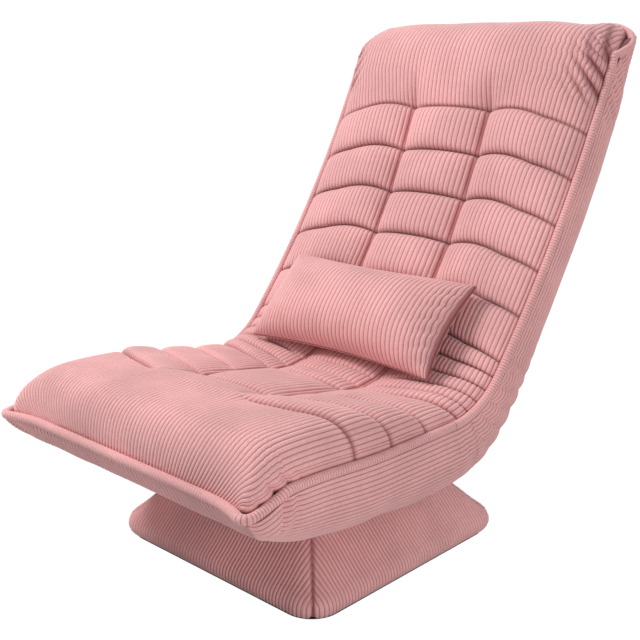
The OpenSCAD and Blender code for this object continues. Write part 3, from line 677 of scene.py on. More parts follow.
@dataclass(frozen=True)
class CorduroyFinish:
    """Dyed wide-wale corduroy: plush wales, darker grooves partly from painted shade, painted shade where the
    wales lie flat, and a slow shift of the nap.
    """

    name: str
    wale_top: tuple = linear(232, 176, 175)
    # Groove colour: partly the grooves' own darker colour, partly painted shade deep in the grooves.
    shaded_groove: tuple = linear(184, 114, 117)
    from_attribute: bool = False
    # Painted shade: the dark colour laid on seams, fold valleys and the crevices beside the piping, wherever
    # the relief attribute is low.
    seam: tuple = linear(128, 58, 63)
    groove_start: float = 0.62
    nap_scale: float = 9.0
    tuft_scale: float = 420.0
    pile_scale: float = 1900.0
    specular: float = 0.15
    sheen: float = 0.5
    sheen_roughness: float = 0.42
    sheen_tint: tuple = (1.0, 0.83, 0.82, 1.0)

    def build(self) -> bpy.types.Material:
        """Makes the material.

        Returns:
            The material.
        """
        tree = ShaderTree(self.name)
        if self.from_attribute:
            count = tree.add("ShaderNodeAttribute", attribute_name="wale").outputs["Fac"]
        else:
            uv = tree.add("ShaderNodeUVMap", uv_map="Weave").outputs[0]
            count = tree.add("ShaderNodeSeparateXYZ", {0: uv}).outputs[0]
        # Grooves take the groove colour: partly their own darker colour, partly painted shade.
        deep = tree.ramp(tree.away(count), self.groove_start, 1.0)
        colour = tree.blend("MIX", deep, self.wale_top, self.shaded_groove)
        if not self.from_attribute:
            # Painted shade: where the relief attribute is low, the colour moves towards the seam colour.
            relief = tree.add("ShaderNodeAttribute", attribute_name="relief").outputs["Fac"]
            flat = tree.math("MULTIPLY", tree.math("SUBTRACT", 1.0, relief), 0.8)
            colour = tree.blend("MIX", flat, colour, self.seam)
        slow = tree.noise(self.nap_scale, Detail=3.0)
        tufts = tree.noise(self.tuft_scale, Detail=2.0)
        pile = tree.noise(self.pile_scale, Detail=2.0)
        colour = tree.blend("MULTIPLY", 1.0, colour, tree.grey(slow, 0.9, 1.06))
        colour = tree.blend("MULTIPLY", 1.0, colour, tree.grey(tufts, 0.92, 1.06))
        height = tree.math("ADD", tree.math("MULTIPLY", pile, 0.5), tufts)
        tree.surface(colour, height, 0.35, 0.6 * MM)
        tree.feed(tree.main, "Roughness", tree.ramp(pile, 0.3, 0.7, 0.82, 0.98))
        tree.feed(tree.main, "Specular IOR Level", self.specular)
        tree.feed(tree.main, "Sheen Weight", self.sheen)
        tree.feed(tree.main, "Sheen Roughness", self.sheen_roughness)
        tree.feed(tree.main, "Sheen Tint", self.sheen_tint)
        return tree.material


@dataclass(frozen=True)
class MetalFinish:
    """Bare, plated or painted metal with fine scratches."""

    name: str
    colour: tuple
    metallic: float = 1.0
    roughness: float = 0.35
    grain: float = 260.0
    cloud: float = 35.0
    stretch: tuple = (1.0, 12.0, 1.0)

    def build(self) -> bpy.types.Material:
        """Makes the material.

        Returns:
            The material.
        """
        tree = ShaderTree(self.name)
        scratch = tree.noise(self.grain, self.stretch)
        colour = tree.blend("MULTIPLY", 1.0, self.colour, tree.grey(tree.noise(self.cloud), 0.88, 1.05))
        tree.surface(colour, scratch, 0.12, 0.2 * MM)
        rough = tree.ramp(scratch, 0.3, 0.7, self.roughness - 0.08, self.roughness + 0.12)
        tree.feed(tree.main, "Roughness", rough)
        tree.feed(tree.main, "Metallic", self.metallic)
        return tree.material


@dataclass(frozen=True)
class PlyFinish:
    """Raw plywood: pale face grain."""

    name: str
    pale: tuple = linear(196, 160, 116)
    dark: tuple = linear(158, 118, 78)
    stretch: tuple = (3.0, 40.0, 90.0)
    roughness: float = 0.72

    def build(self) -> bpy.types.Material:
        """Makes the material.

        Returns:
            The material.
        """
        tree = ShaderTree(self.name)
        grain = tree.noise(4.0, self.stretch, Detail=6.0, Distortion=0.6)
        colour = tree.blend("MIX", tree.ramp(grain, 0.35, 0.7), self.pale, self.dark)
        tree.surface(colour, grain, 0.2, 0.4 * MM)
        tree.feed(tree.main, "Roughness", self.roughness)
        return tree.material


@dataclass(frozen=True)
class SheetFinish:
    """Dark woven sheet or strap: raised dots or a basket weave."""

    name: str
    colour: tuple
    cell: float = 4 * MM
    dots: bool = True
    roughness: float = 0.8

    def build(self) -> bpy.types.Material:
        """Makes the material.

        Returns:
            The material.
        """
        tree = ShaderTree(self.name)
        inputs = {"Vector": tree.place(), "Scale": 1 / self.cell}
        if self.dots:
            cells = tree.add("ShaderNodeTexVoronoi", {**inputs, "Randomness": 0.0}).outputs["Distance"]
            raised = tree.ramp(cells, 0.28, 0.38, 1.0, 0.0)
        else:
            raised = tree.add("ShaderNodeTexChecker", inputs).outputs[1]
        lighter = tuple(min(1.0, c * 2.2 + 0.01) for c in self.colour[:3]) + (1.0,)
        tree.surface(tree.blend("MIX", raised, self.colour, lighter), raised, 0.5, 0.6 * MM)
        tree.feed(tree.main, "Roughness", self.roughness)
        return tree.material


@dataclass(frozen=True)
class MouldedFinish:
    """Moulded nylon with a fine texture."""

    name: str
    colour: tuple
    texture: float = 700.0
    roughness: float = 0.45

    def build(self) -> bpy.types.Material:
        """Makes the material.

        Returns:
            The material.
        """
        tree = ShaderTree(self.name)
        fine = tree.noise(self.texture)
        colour = tree.blend("MULTIPLY", 1.0, self.colour, tree.grey(fine, 0.94, 1.03))
        tree.surface(colour, fine, 0.15, 0.2 * MM)
        tree.feed(tree.main, "Roughness", self.roughness)
        return tree.material


# The shared side profile


@dataclass(frozen=True)
class Profile:
    """The piping line seen from the side: level seat, crook, and a back that bows forward."""

    half_w: float = 270 * MM
    seat_front: float = 368 * MM
    seat_len: float = 392 * MM
    crook_r: float = 150 * MM
    crook_turn: float = math.radians(50)
    back_len: float = 548 * MM
    back_bow: float = math.radians(16)
    piping_z: float = 243 * MM
    piping_r: float = 7 * MM
    gap: float = 0.3 * MM
    corner_r: float = 14 * MM
    shell_depth: float = 103 * MM
    crook_sag: float = 8 * MM
    front_lift: float = 9 * MM
    back_taper: float = 22 * MM
    top_gap: float = 1.5 * MM
    top_corner: float = 12 * MM
    ear_out: float = 5 * MM
    ear_ahead: float = 20 * MM
    front_sag: float = 6 * MM
    side_lift: float = 8.5 * MM
    seat_pitch: float = 76 * MM
    back_pitch: float = 80 * MM
    row_bow: float = 52 * MM
    row_share: float = 0.635
    first_rise: float = 31 * MM
    wrap_inset: float = 10 * MM
    ruffles: int = 5
    back_cells: int = 5
    bend_start: tuple = (0.0, 0.045, 0.2445)
    bend_end: tuple = (0.0, 0.1585, 0.3207)
    edge_band: float = 42 * MM
    front_reach: float = 70 * MM
    wrap_n: float = -26 * MM
    wrap_turn: float = math.radians(112)
    wrap_edge_r: float = 70 * MM
    head_r: float = 84 * MM

    @property
    def crook_len(self) -> float:
        """Length of the crook along the line."""
        return self.crook_r * self.crook_turn

    @property
    def back_start(self) -> float:
        """Length at which the back starts."""
        return self.seat_len + self.crook_len

    @property
    def back_r(self) -> float:
        """Radius of the back's bow."""
        return self.back_len / self.back_bow

    @property
    def rear_row(self) -> float:
        """Last cross seam of the seat, in the middle."""
        return self.seat_len - self.row_bow * self.row_share

    @property
    def first_row(self) -> float:
        """First cross seam of the back."""
        return self.back_start + self.first_rise

    def crook_row(self, k: int) -> float:
        """Cross seam of the crook, counted from the seat's last to the back's first."""
        return mix(self.rear_row, self.first_row, k / self.ruffles)

    @property
    def wrap_s(self) -> float:
        """Length at which the head roll starts to wrap over the top."""
        return self.back_start + self.back_len - self.wrap_inset

    @property
    def pad_half(self) -> float:
        """Half the width of the pad, between the pipings."""
        return self.half_w - self.piping_r - self.gap

    @property
    def top_reach(self) -> float:
        """How far the top piping lies beyond the start of the wrap."""
        return self.wrap_edge_r * math.sin(self.wrap_turn) + self.piping_r + self.top_gap

    @property
    def top_drop(self) -> float:
        """How far the top piping lies behind the line of the side piping."""
        return -(self.wrap_n + self.wrap_edge_r * math.cos(self.wrap_turn))

    def seat_row(self, k: int) -> float:
        """Cross seam k of the seat, 0 to 3 from the front."""
        return self.rear_row - (3 - k) * self.seat_pitch

    def back_row(self, k: float) -> float:
        """Cross seam k of the back, 0 to 5 from the bottom."""
        return self.first_row + k * self.back_pitch

    def turn(self, s: Array) -> Array:
        """Turn of the line at a length s along it.

        Args:
            s: length along the line.

        Returns:
            The turn from level, in radians.
        """
        s = np.asarray(s, float)
        crook = (s - self.seat_len) / self.crook_r
        back = self.crook_turn + (s - self.back_start) / self.back_r
        return np.where(s < self.seat_len, 0.0, np.where(s < self.back_start, crook, back))

    def line(self, s: Array) -> tuple[Array, Array]:
        """Point of the line at a length s, as y and z.

        Args:
            s: length along the line.

        Returns:
            y and z of the point.
        """
        s = np.asarray(s, float)
        a = self.turn(s)
        cy, cz = self.seat_len - self.seat_front, self.piping_z + self.crook_r
        ey = cy + self.crook_r * math.sin(self.crook_turn)
        ez = cz - self.crook_r * math.cos(self.crook_turn)
        by = ey - self.back_r * math.sin(self.crook_turn)
        bz = ez + self.back_r * math.cos(self.crook_turn)
        y = np.where(s < self.seat_len, s - self.seat_front, np.where(
            s < self.back_start, cy + self.crook_r * np.sin(a), by + self.back_r * np.sin(a)))
        z = np.where(s < self.seat_len, self.piping_z, np.where(
            s < self.back_start, cz - self.crook_r * np.cos(a), bz - self.back_r * np.cos(a)))
        return y, z

    def place(self, x: Array, s: Array, n: Array) -> Array:
        """Points at x, at a length s along the line and a height n above it.

        Near the piping the front sags, the front corners are drawn out into ears, and the sides
        lift just behind them.

        Args:
            x: place across.
            s: length along the line.
            n: height above the line.

        Returns:
            The points.
        """
        x, s, n = np.broadcast_arrays(np.asarray(x, float), np.asarray(s, float), np.asarray(n, float))
        near = bell(n, self.edge_band)
        ahead = 1 - smooth(s / self.front_reach)
        ear = clamp((np.abs(x) - 180 * MM) / (90 * MM)) ** 2.4 * ahead * near
        lift = smooth((s - 5 * MM) / (48 * MM)) * (1 - smooth((s - 75 * MM) / (170 * MM)))
        lift = self.side_lift * lift * smooth((np.abs(x) - 150 * MM) / (100 * MM))
        n = n + near * (lift - self.front_sag * ahead)
        x = x + np.sign(x) * self.ear_out * ear
        s = s - self.ear_ahead * ear
        y, z = self.line(s)
        a = self.turn(s)
        return np.stack([x, y - n * np.sin(a), z + n * np.cos(a)], axis=-1)

    def half_at(self, s: Array, half: float) -> Array:
        """Half the width at a length s, less at the rounded front corners."""
        inner = np.clip(1 - np.asarray(s, float) / self.corner_r, 0, 1)
        return half - self.corner_r * (1 - np.sqrt(np.maximum(0, 1 - inner**2)))

    def top_half(self, t: Array, half: float) -> Array:
        """Half the width on the way over the top, as t goes from 0 to 1."""
        return half - self.top_corner * np.asarray(t, float) ** 3

    @property
    def bend(self) -> tuple[tuple, tuple]:
        """Places between which the soft pieces bend as the back reclines."""
        return self.bend_start, self.bend_end


@dataclass
class Upholstery:
    """What pads, shells and pillow share: profile, wale tree, finish and declarations."""

    profile: Profile
    wales: GeometryTree
    finish: bpy.types.Material

    def dress(self, skin: Skin, name: str, node: str, slot: Slot, body: Optional[Body],
              fill: float) -> bpy.types.Object:
        """Makes a padded piece from its skin.

        Args:
            skin: the rings and weave.
            name: name of the piece.
            node: the solid that it stands for.
            slot: its material slot.
            body: the body that it rides on, or none where it bends between seat and back.
            fill: how full it is; not used.

        Returns:
            The finished piece.
        """
        mesh = skin.mesh(name)
        point_out(mesh)
        obj = new_object(name, mesh)
        self.wales.apply(obj, self.finish)
        declare(obj, node, slot, body, self.profile.bend)
        return obj


# The tufted pad


@dataclass
class TuftedPad(Upholstery):
    """The quilted top of seat, crook and back, in three columns of cells.

    The depths are those of the undersides below the line. The edge of the head roll has its radii
    (roll_edges, in mm) at shares of the turn over the top (roll_places).
    """

    seam_x: float = 81 * MM
    front_roll: float = 68 * MM
    seam_heights: tuple = (62 * MM, 42 * MM, 28 * MM, 16 * MM)
    seam_back: float = 3 * MM
    seam_head: float = 27 * MM
    tuft_rise: float = 17 * MM
    ruffle_rise: float = 16 * MM
    side_wales: int = 24
    middle_wales: int = 19
    seat_wales: tuple = (30, 22)
    puckers: Gathers = Gathers(9 * MM, 15 * MM, -0.4, sunk=0.1, start=24 * MM)
    head_gathers: Gathers = Gathers(14 * MM, 27 * MM, 1.1)
    nose_depth: float = 6 * MM
    seat_depth: float = 60 * MM
    crook_depth: float = 30 * MM
    back_depth: float = 45 * MM
    roll_places: tuple = (0, 0.31, 0.6, 0.85, 0.95, 1)
    roll_edges: tuple = (26, 30, 29, 40, 58, 70)
    ear_bump: float = 28 * MM
    ear_x: float = 238 * MM
    ear_width: float = 27 * MM

    def across(self, share: Array, s: float) -> tuple[Array, Array, Array]:
        """Shape across the pad.

        Args:
            share: place across, from -1 to 1.
            s: length along the line; the back falls more gently to its piping than the seat.

        Returns:
            The fall towards the piping, the swell of a cell, and whether it is the middle column.
        """
        seam = self.seam_x / self.profile.pad_half
        away = np.abs(share)
        side = np.clip((away - seam) / (1 - seam), 0, 1)
        soft = float(smooth((s - 0.22) / 0.33))
        start, power, root = mix(0.5, 0.22, soft), mix(4.0, 2.6, soft), mix(0.45, 0.56, soft)
        fall = np.maximum(0, 1 - np.clip((side - start) / (1 - start), 0, 1) ** power) ** root
        cell = np.where(away < seam, 1 - np.minimum(1, away / seam) ** 2.6,
                        1 - (1 - np.minimum(1, side / 0.42)) ** 2.6) ** 0.72
        return fall, cell, away < seam

    def arch(self, s: float) -> tuple[float, float]:
        """How far a cross seam arches up inside a cell, and how low it lies at its ends."""
        soft = float(smooth((s - 0.1) / 0.45))
        return mix(3 * MM, 9 * MM, soft), mix(2 * MM, 4 * MM, soft)

    def row_curve(self, share: Array) -> Array:
        """How far up the back a cross seam lies, against its place in the middle.

        Args:
            share: places across, from -1 to 1.

        Returns:
            Length up the back at each place.
        """
        seam = self.seam_x / self.profile.pad_half
        side = np.clip((np.abs(share) - seam) / (1 - seam), 0, 1)
        inside = 1 - np.minimum(1, np.abs(share) / seam) ** 2
        return (10 * MM + 2 * MM * inside + 5 * MM * np.sin(math.pi * clamp(side / 0.62))
                - 24 * MM * side**2.2)

    def seam_line(self, share: Array, width: float) -> Array:
        """1 on the two lengthwise seams, falling to 0 beside them."""
        x = np.abs(share) * self.profile.pad_half
        return bell(x - self.seam_x, width)

    def rows(self, params: Array, section: Callable[[float, Array], Array], bottom: Callable[[float], Array],
             start: float, seams: Sequence[tuple[float, bool]], wales: tuple[int, int],
             calm: Optional[Callable[[float, Array], Array]] = None) -> Skin:
        """Lays even wales on rows of a pad.

        Args:
            params: the rows.
            section: points of a row, for a row and places across it.
            bottom: the underside's points, from right to left, for a row.
            start: length along the wales at the first row.
            seams: rows where a seam pinches the wales and paints its shade, and whether only in the outer
                columns.
            wales: how many wales lie in an outer column and in the middle one.
            calm: how far the wales are pressed flat and painted with shade, for a row and places across it.

        Returns:
            The skin.
        """
        seam = self.seam_x / self.profile.pad_half
        edges = (-1.0, -seam, seam, 1.0)
        counts = (wales[0], wales[1], wales[0])
        rings, shares = [], []
        for p in params:
            places = []
            for low, high, count in zip(edges, edges[1:], counts):
                dense = np.linspace(low, high, 160)
                places.append(even_places(section(p, dense), dense, count * SAMPLES)[:-1])
            share = np.concatenate(places + [[1.0]])
            shares.append(share)
            rings.append(np.vstack([section(p, share), bottom(p)]))
        rings = np.array(rings)
        top = sum(counts) * SAMPLES + 1
        under = rings.shape[1] - top
        wale = np.concatenate([np.arange(top) / SAMPLES, np.full(under, float(sum(counts)))])
        relief = np.concatenate([np.ones(top), np.zeros(under)])
        # The edges beside the piping lie flat, and the finish paints them with crevice shade.
        relief[[0, top - 1]] = 0
        # Pressed-flat places also take the finish's painted shade.
        if calm is not None:
            flat = np.array([calm(p, share) for p, share in zip(params, shares)])
            relief = relief * (1 - np.pad(flat, ((0, 0), (0, under))))
        outer = smooth((np.abs(wale - sum(counts) / 2) - wales[1] / 2 - 2) / 5)
        # Each seam flattens the wales along it, and the finish paints the flat line with seam shade.
        for at, sides_only in seams:
            pinch_and_shade = bell(np.asarray(params) - at, 3.2 * MM)[:, None] * (outer if sides_only else 1)
            relief = relief * (1 - 0.9 * pinch_and_shade)
        return Skin.woven(rings, wale, start + running_length(rings[:, top // 2]), relief, top)

    def underside(self, half: Array, s: float, bow: float, depth: float) -> Array:
        """The underside of a row, from right to left."""
        share = np.array([0.98, 0.6, 0.3, 0.0, -0.3, -0.6, -0.98])
        return self.profile.place(half * share, s + bow * share**2, -depth)

    # Seat

    def seat_seam(self, p: float) -> float:
        """Height of the seams of the seat."""
        pr = self.profile
        return float(np.interp(p, [pr.seat_row(k) for k in range(4)], self.seam_heights))

    def seat_section(self, p: float, share: Array) -> Array:
        """A row of the seat: front roll, then three rows of cells.

        Args:
            p: length along the line.
            share: places across, from -1 to 1.

        Returns:
            The points of the row.
        """
        pr = self.profile
        fall, cell, _ = self.across(share, p)
        arch, low = self.arch(p)
        row0, row1, row3 = pr.seat_row(0), pr.seat_row(1), pr.seat_row(3)
        roll = self.front_roll - self.seam_heights[0]
        if p <= row0:
            side_lift = roll * swell(mix(0.12, 1, p / row0))
        else:
            k = min(2, int((p - row0) / pr.seat_pitch))
            side_lift = 0.65 * self.tuft_rise * swell((p - pr.seat_row(k)) / pr.seat_pitch)
        if p < row1:
            rise = roll + 7 * MM * smooth((p - row0 + 30 * MM) / (55 * MM))
            mid_lift = rise * swell(mix(0.12, 1, p / row1))
        else:
            mid_lift = 0.85 * self.tuft_rise * swell((p - row1) / (row3 - row1))
        crease = smooth((p - row0 + 12 * MM) / (62 * MM))
        cell = 1 - crease * (1 - cell)
        nose = float(np.maximum(0, 1 - np.maximum(0, 1 - p / (74 * MM)) ** 3.6) ** 0.44)
        beside = smooth((pr.pad_half * np.abs(share) - self.seam_x) / (30 * MM))
        lift = mix(mid_lift, side_lift, beside)
        x = pr.half_at(p, pr.pad_half) * share
        height = self.seat_seam(p) - low * crease + cell * (lift + arch * crease)
        height -= 4 * MM * crease * self.seam_line(share, 5 * MM)
        for k in range(4):
            cut = bell(p - pr.seat_row(k), 4.5 * MM) * 4.5 * MM
            height -= cut * (1 if k in (1, 3) else smooth((np.abs(x) - 96 * MM) / (40 * MM)))
        height += 1.2 * MM * ripple(x, np.full_like(x, p), 3)
        n = both_low(fall, nose) * height
        bow = pr.row_bow * float(clamp(p / row0))
        return pr.place(x + np.sign(x) * self.corner_puckers(p, x, n), p + bow * share**2, n)

    def corner_puckers(self, p: float, x: Array, n: Array) -> Array:
        """Sideways depth of the short gathers that run up from the piping behind the front corners.

        Args:
            p: length along the line.
            x: places across.
            n: heights above the line.

        Returns:
            The depth at each place.
        """
        off = self.profile.pad_half - np.abs(x)
        where = bell(p - 33 * MM, 22 * MM) * bell(n - 11 * MM, 17 * MM) * bell(off, 26 * MM)
        return self.puckers.height(p, n) * where

    def seat_bottom(self, p: float) -> Array:
        """Underside of the seat pad at a row.

        Args:
            p: length along the line.

        Returns:
            The points, from right to left.
        """
        pr = self.profile
        rise = max(0.0, pr.seat_front - 88 * MM - p) * math.tan(math.radians(12))
        front = float(mix(self.nose_depth, self.seat_depth, clamp(p / (90 * MM))))
        depth = min(self.seat_depth - rise, front)
        bow = pr.row_bow * float(clamp(p / pr.seat_row(0)))
        return self.underside(pr.half_at(p, pr.pad_half), p, bow, depth)

    def seat(self) -> bpy.types.Object:
        """Makes the seat pad.

        Returns:
            The finished piece.
        """
        pr = self.profile
        nose = 84 * MM * (np.arange(48) / 48) ** 1.5
        params = np.concatenate([nose, np.linspace(84 * MM, pr.seat_row(0), 14)[:-1]]
                                + [clustered(pr.seat_row(k), pr.seat_row(k + 1), 16) for k in range(3)]
                                + [[pr.rear_row]])
        skin = self.rows(params, self.seat_section, self.seat_bottom, 0.0,
                         [(pr.seat_row(k), k % 2 == 0) for k in range(4)], self.seat_wales)
        return self.dress(skin, "seat_pad_cover", "seat_pad", Slot.CORDUROY, Body.SEAT, 0.7)

    # Crook

    def crook_section(self, p: float, share: Array) -> Array:
        """A row of the crook, gathered into short ruffles beside the piping.

        Args:
            p: length along the line.
            share: places across, from -1 to 1.

        Returns:
            The points of the row.
        """
        pr = self.profile
        fall, cell, middle = self.across(share, p)
        arch, low = self.arch(p)
        t = (p - pr.rear_row) / (pr.first_row - pr.rear_row)
        ruffle = swell((t * pr.ruffles) % 1.0 if t < 1 else 0.0) * self.ruffle_rise
        edge = 0.3 + 0.7 * smooth(np.abs(share) * 1.7 - 0.6)
        seam = mix(self.seam_heights[3], self.seam_back, t)
        end = float(swell(t))
        height = seam - low + cell * (np.where(middle, 0.5 * ruffle, ruffle * edge) + arch + 3 * MM * end)
        height = height - 3 * MM * self.seam_line(share, 4 * MM)
        x = pr.pad_half * share
        for k in range(pr.ruffles + 1):
            cut = bell(p - pr.crook_row(k), 3 * MM) * 3 * MM
            height = height - cut * (1 if k in (0, pr.ruffles) else edge)
        height = height + 1.0 * MM * ripple(x, np.full_like(x, p), 5) * end
        return pr.place(x, p + pr.row_bow * (1 - t) * share**2 + t * self.row_curve(share), fall * height)

    def crook(self) -> bpy.types.Object:
        """Makes the stretch of pad that bends.

        Returns:
            The finished piece.
        """
        pr = self.profile
        at = [pr.crook_row(k) for k in range(pr.ruffles + 1)]
        params = np.concatenate([clustered(low, high, 9) for low, high in zip(at, at[1:])]
                                + [[pr.first_row]])

        def bottom(p: float) -> Array:
            """Underside of the crook at a row."""
            t = (p - pr.rear_row) / (pr.first_row - pr.rear_row)
            return self.underside(pr.pad_half, p, pr.row_bow * (1 - t), self.crook_depth)

        ruffles = [(s, True) for s in at[1:-1]]
        skin = self.rows(params, self.crook_section, bottom, pr.rear_row,
                         [(pr.rear_row, False), (pr.first_row, False)] + ruffles,
                         (self.side_wales, self.middle_wales))
        return self.dress(skin, "crook_pad_cover", "crook_pad", Slot.CORDUROY, None, 0.5)

    # Back

    def back_section(self, p: float, share: Array) -> Array:
        """A row of the back: five rows of cells, then the head roll that wraps over the top.

        Args:
            p: length along the line; past wrap_s what is over is the turn about the roll's middle.
            share: places across, from -1 to 1.

        Returns:
            The points of the row.
        """
        pr = self.profile
        if p > pr.wrap_s:
            return self.wrap_section(p - pr.wrap_s, share)
        fall, cell, _ = self.across(share, p)
        arch, low = self.arch(p)
        x = pr.pad_half * share
        last = pr.back_row(pr.back_cells)
        fold = self.side_folds(p, x)
        if p <= last:
            k = min(pr.back_cells - 1, int((p - pr.first_row) / pr.back_pitch + 1e-9))
            lift = self.tuft_rise * swell((p - pr.back_row(k)) / pr.back_pitch)
            up = clamp((p - pr.first_row) / (pr.back_cells * pr.back_pitch))
            seam = mix(self.seam_back, self.seam_head, up ** 2.2)
            height = seam - low + cell * (lift + arch) - 3 * MM * self.seam_line(share, 4 * MM)
            for k in range(pr.back_cells + 1):
                height = height - 3 * MM * bell(p - pr.back_row(k), 3.5 * MM)
            shift = 1.0
        else:
            t = (p - last) / (pr.wrap_s - last)
            shift = 1 - float(smooth(t))
            crease = smooth(1 - (p - last) / (100 * MM))
            height = mix(self.seam_head - low * shift + arch * shift * cell, pr.head_r + pr.wrap_n,
                         np.sin(math.pi / 2 * t) ** 0.8)
            wide, narrow = self.seam_line(share, 15 * MM), self.seam_line(share, 4 * MM)
            height = height - crease * (6 * MM * wide + 3 * MM * narrow)
            height = height - 3 * MM * bell(p - last, 3.5 * MM)
        height = height + 1.2 * MM * ripple(x, np.full_like(x, p), 9)
        return pr.place(x, p + shift * self.row_curve(share), fall * height + fold)

    def gathered(self, p: float, share: Array) -> Array:
        """How far the wales are pressed flat, and painted with the finish's seam shade, in the valleys beside
        the top corners.

        Args:
            p: the row, as in back_section.
            share: places across, from -1 to 1.

        Returns:
            The share, 0 to 1.
        """
        off = self.profile.pad_half * (1 - np.abs(share))
        valley = 0.4 - self.head_gathers.wave(p, off)
        near_top = smooth((p - self.profile.wrap_s + 76 * MM) / (30 * MM))
        return near_top * bell(off, 34 * MM) * clamp(1.6 * valley)

    def side_folds(self, p: float, x: Array) -> Array:
        """Slanting gathers beside the piping of the head roll.

        Args:
            p: length along the line.
            x: places across.

        Returns:
            The height at each place.
        """
        pr = self.profile
        off = pr.pad_half - np.abs(x)
        strength = smooth((p - pr.wrap_s + 72 * MM) / (30 * MM))
        return strength * self.gathers(p, off)

    def gathers(self, s: float, off: Array) -> Array:
        """Slanting gathers at a length s, at places off the piping."""
        return self.head_gathers.height(s, off) * bell(off - 4 * MM, 26 * MM) * clamp(off / (3 * MM))

    def wrap_section(self, turn: float, share: Array) -> Array:
        """A row of the head roll, at a turn about its middle.

        Args:
            turn: turn about the roll's middle, in radians.
            share: places across, from -1 to 1.

        Returns:
            The points of the row.
        """
        pr = self.profile
        t = turn / pr.wrap_turn
        fall, _, _ = self.across(share, pr.wrap_s)
        fall = fall ** float(mix(1.0, 0.35, smooth((t - 0.55) / 0.45)))
        x = (pr.pad_half - 9 * MM * t**6) * share
        edge = MM * float(np.interp(t, self.roll_places, self.roll_edges))
        ear = self.ear_bump * bell(np.abs(x) - self.ear_x, self.ear_width) * smooth((t - 0.3) / 0.7)
        radius = mix(edge, mix(pr.head_r, pr.wrap_edge_r, t**3) + ear, fall)
        off = pr.pad_half - np.abs(x)
        arc = pr.wrap_s + turn * pr.head_r
        radius = radius + self.gathers(arc, off) * (1 - float(smooth(t / 0.8)))
        radius = radius + 1.2 * MM * ripple(x, np.full_like(x, arc), 9) * (1 - t**4)
        return pr.place(x, pr.wrap_s + radius * math.sin(turn), pr.wrap_n + radius * math.cos(turn))

    def back_bottom(self, p: float) -> Array:
        """Underside of the back pad at a row.

        Args:
            p: the row, as in back_section.

        Returns:
            The points, from right to left.
        """
        pr = self.profile
        t = max(0.0, p - pr.wrap_s) / pr.wrap_turn
        low = pr.wrap_n + pr.wrap_edge_r * math.cos(pr.wrap_turn) - 8 * MM
        depth = -float(mix(-self.back_depth, low, t))
        return self.underside(pr.top_half(t, pr.pad_half), min(p, pr.wrap_s) + 52 * MM * t, 0.0, depth)

    def back(self) -> bpy.types.Object:
        """Makes the back pad with its head roll.

        Returns:
            The finished piece.
        """
        pr = self.profile
        at = [pr.back_row(k) for k in range(pr.back_cells + 1)]
        params = np.concatenate([clustered(low, high, 16) for low, high in zip(at, at[1:])]
                                + [np.linspace(at[-1], pr.wrap_s, 56)]
                                + [pr.wrap_s + np.linspace(0, pr.wrap_turn, 72)[1:]])
        skin = self.rows(params, self.back_section, self.back_bottom, pr.first_row,
                         [(s, False) for s in at], (self.side_wales, self.middle_wales), self.gathered)
        return self.dress(skin, "back_pad_cover", "back_pad", Slot.CORDUROY, Body.BACK, 0.75)


# The shell


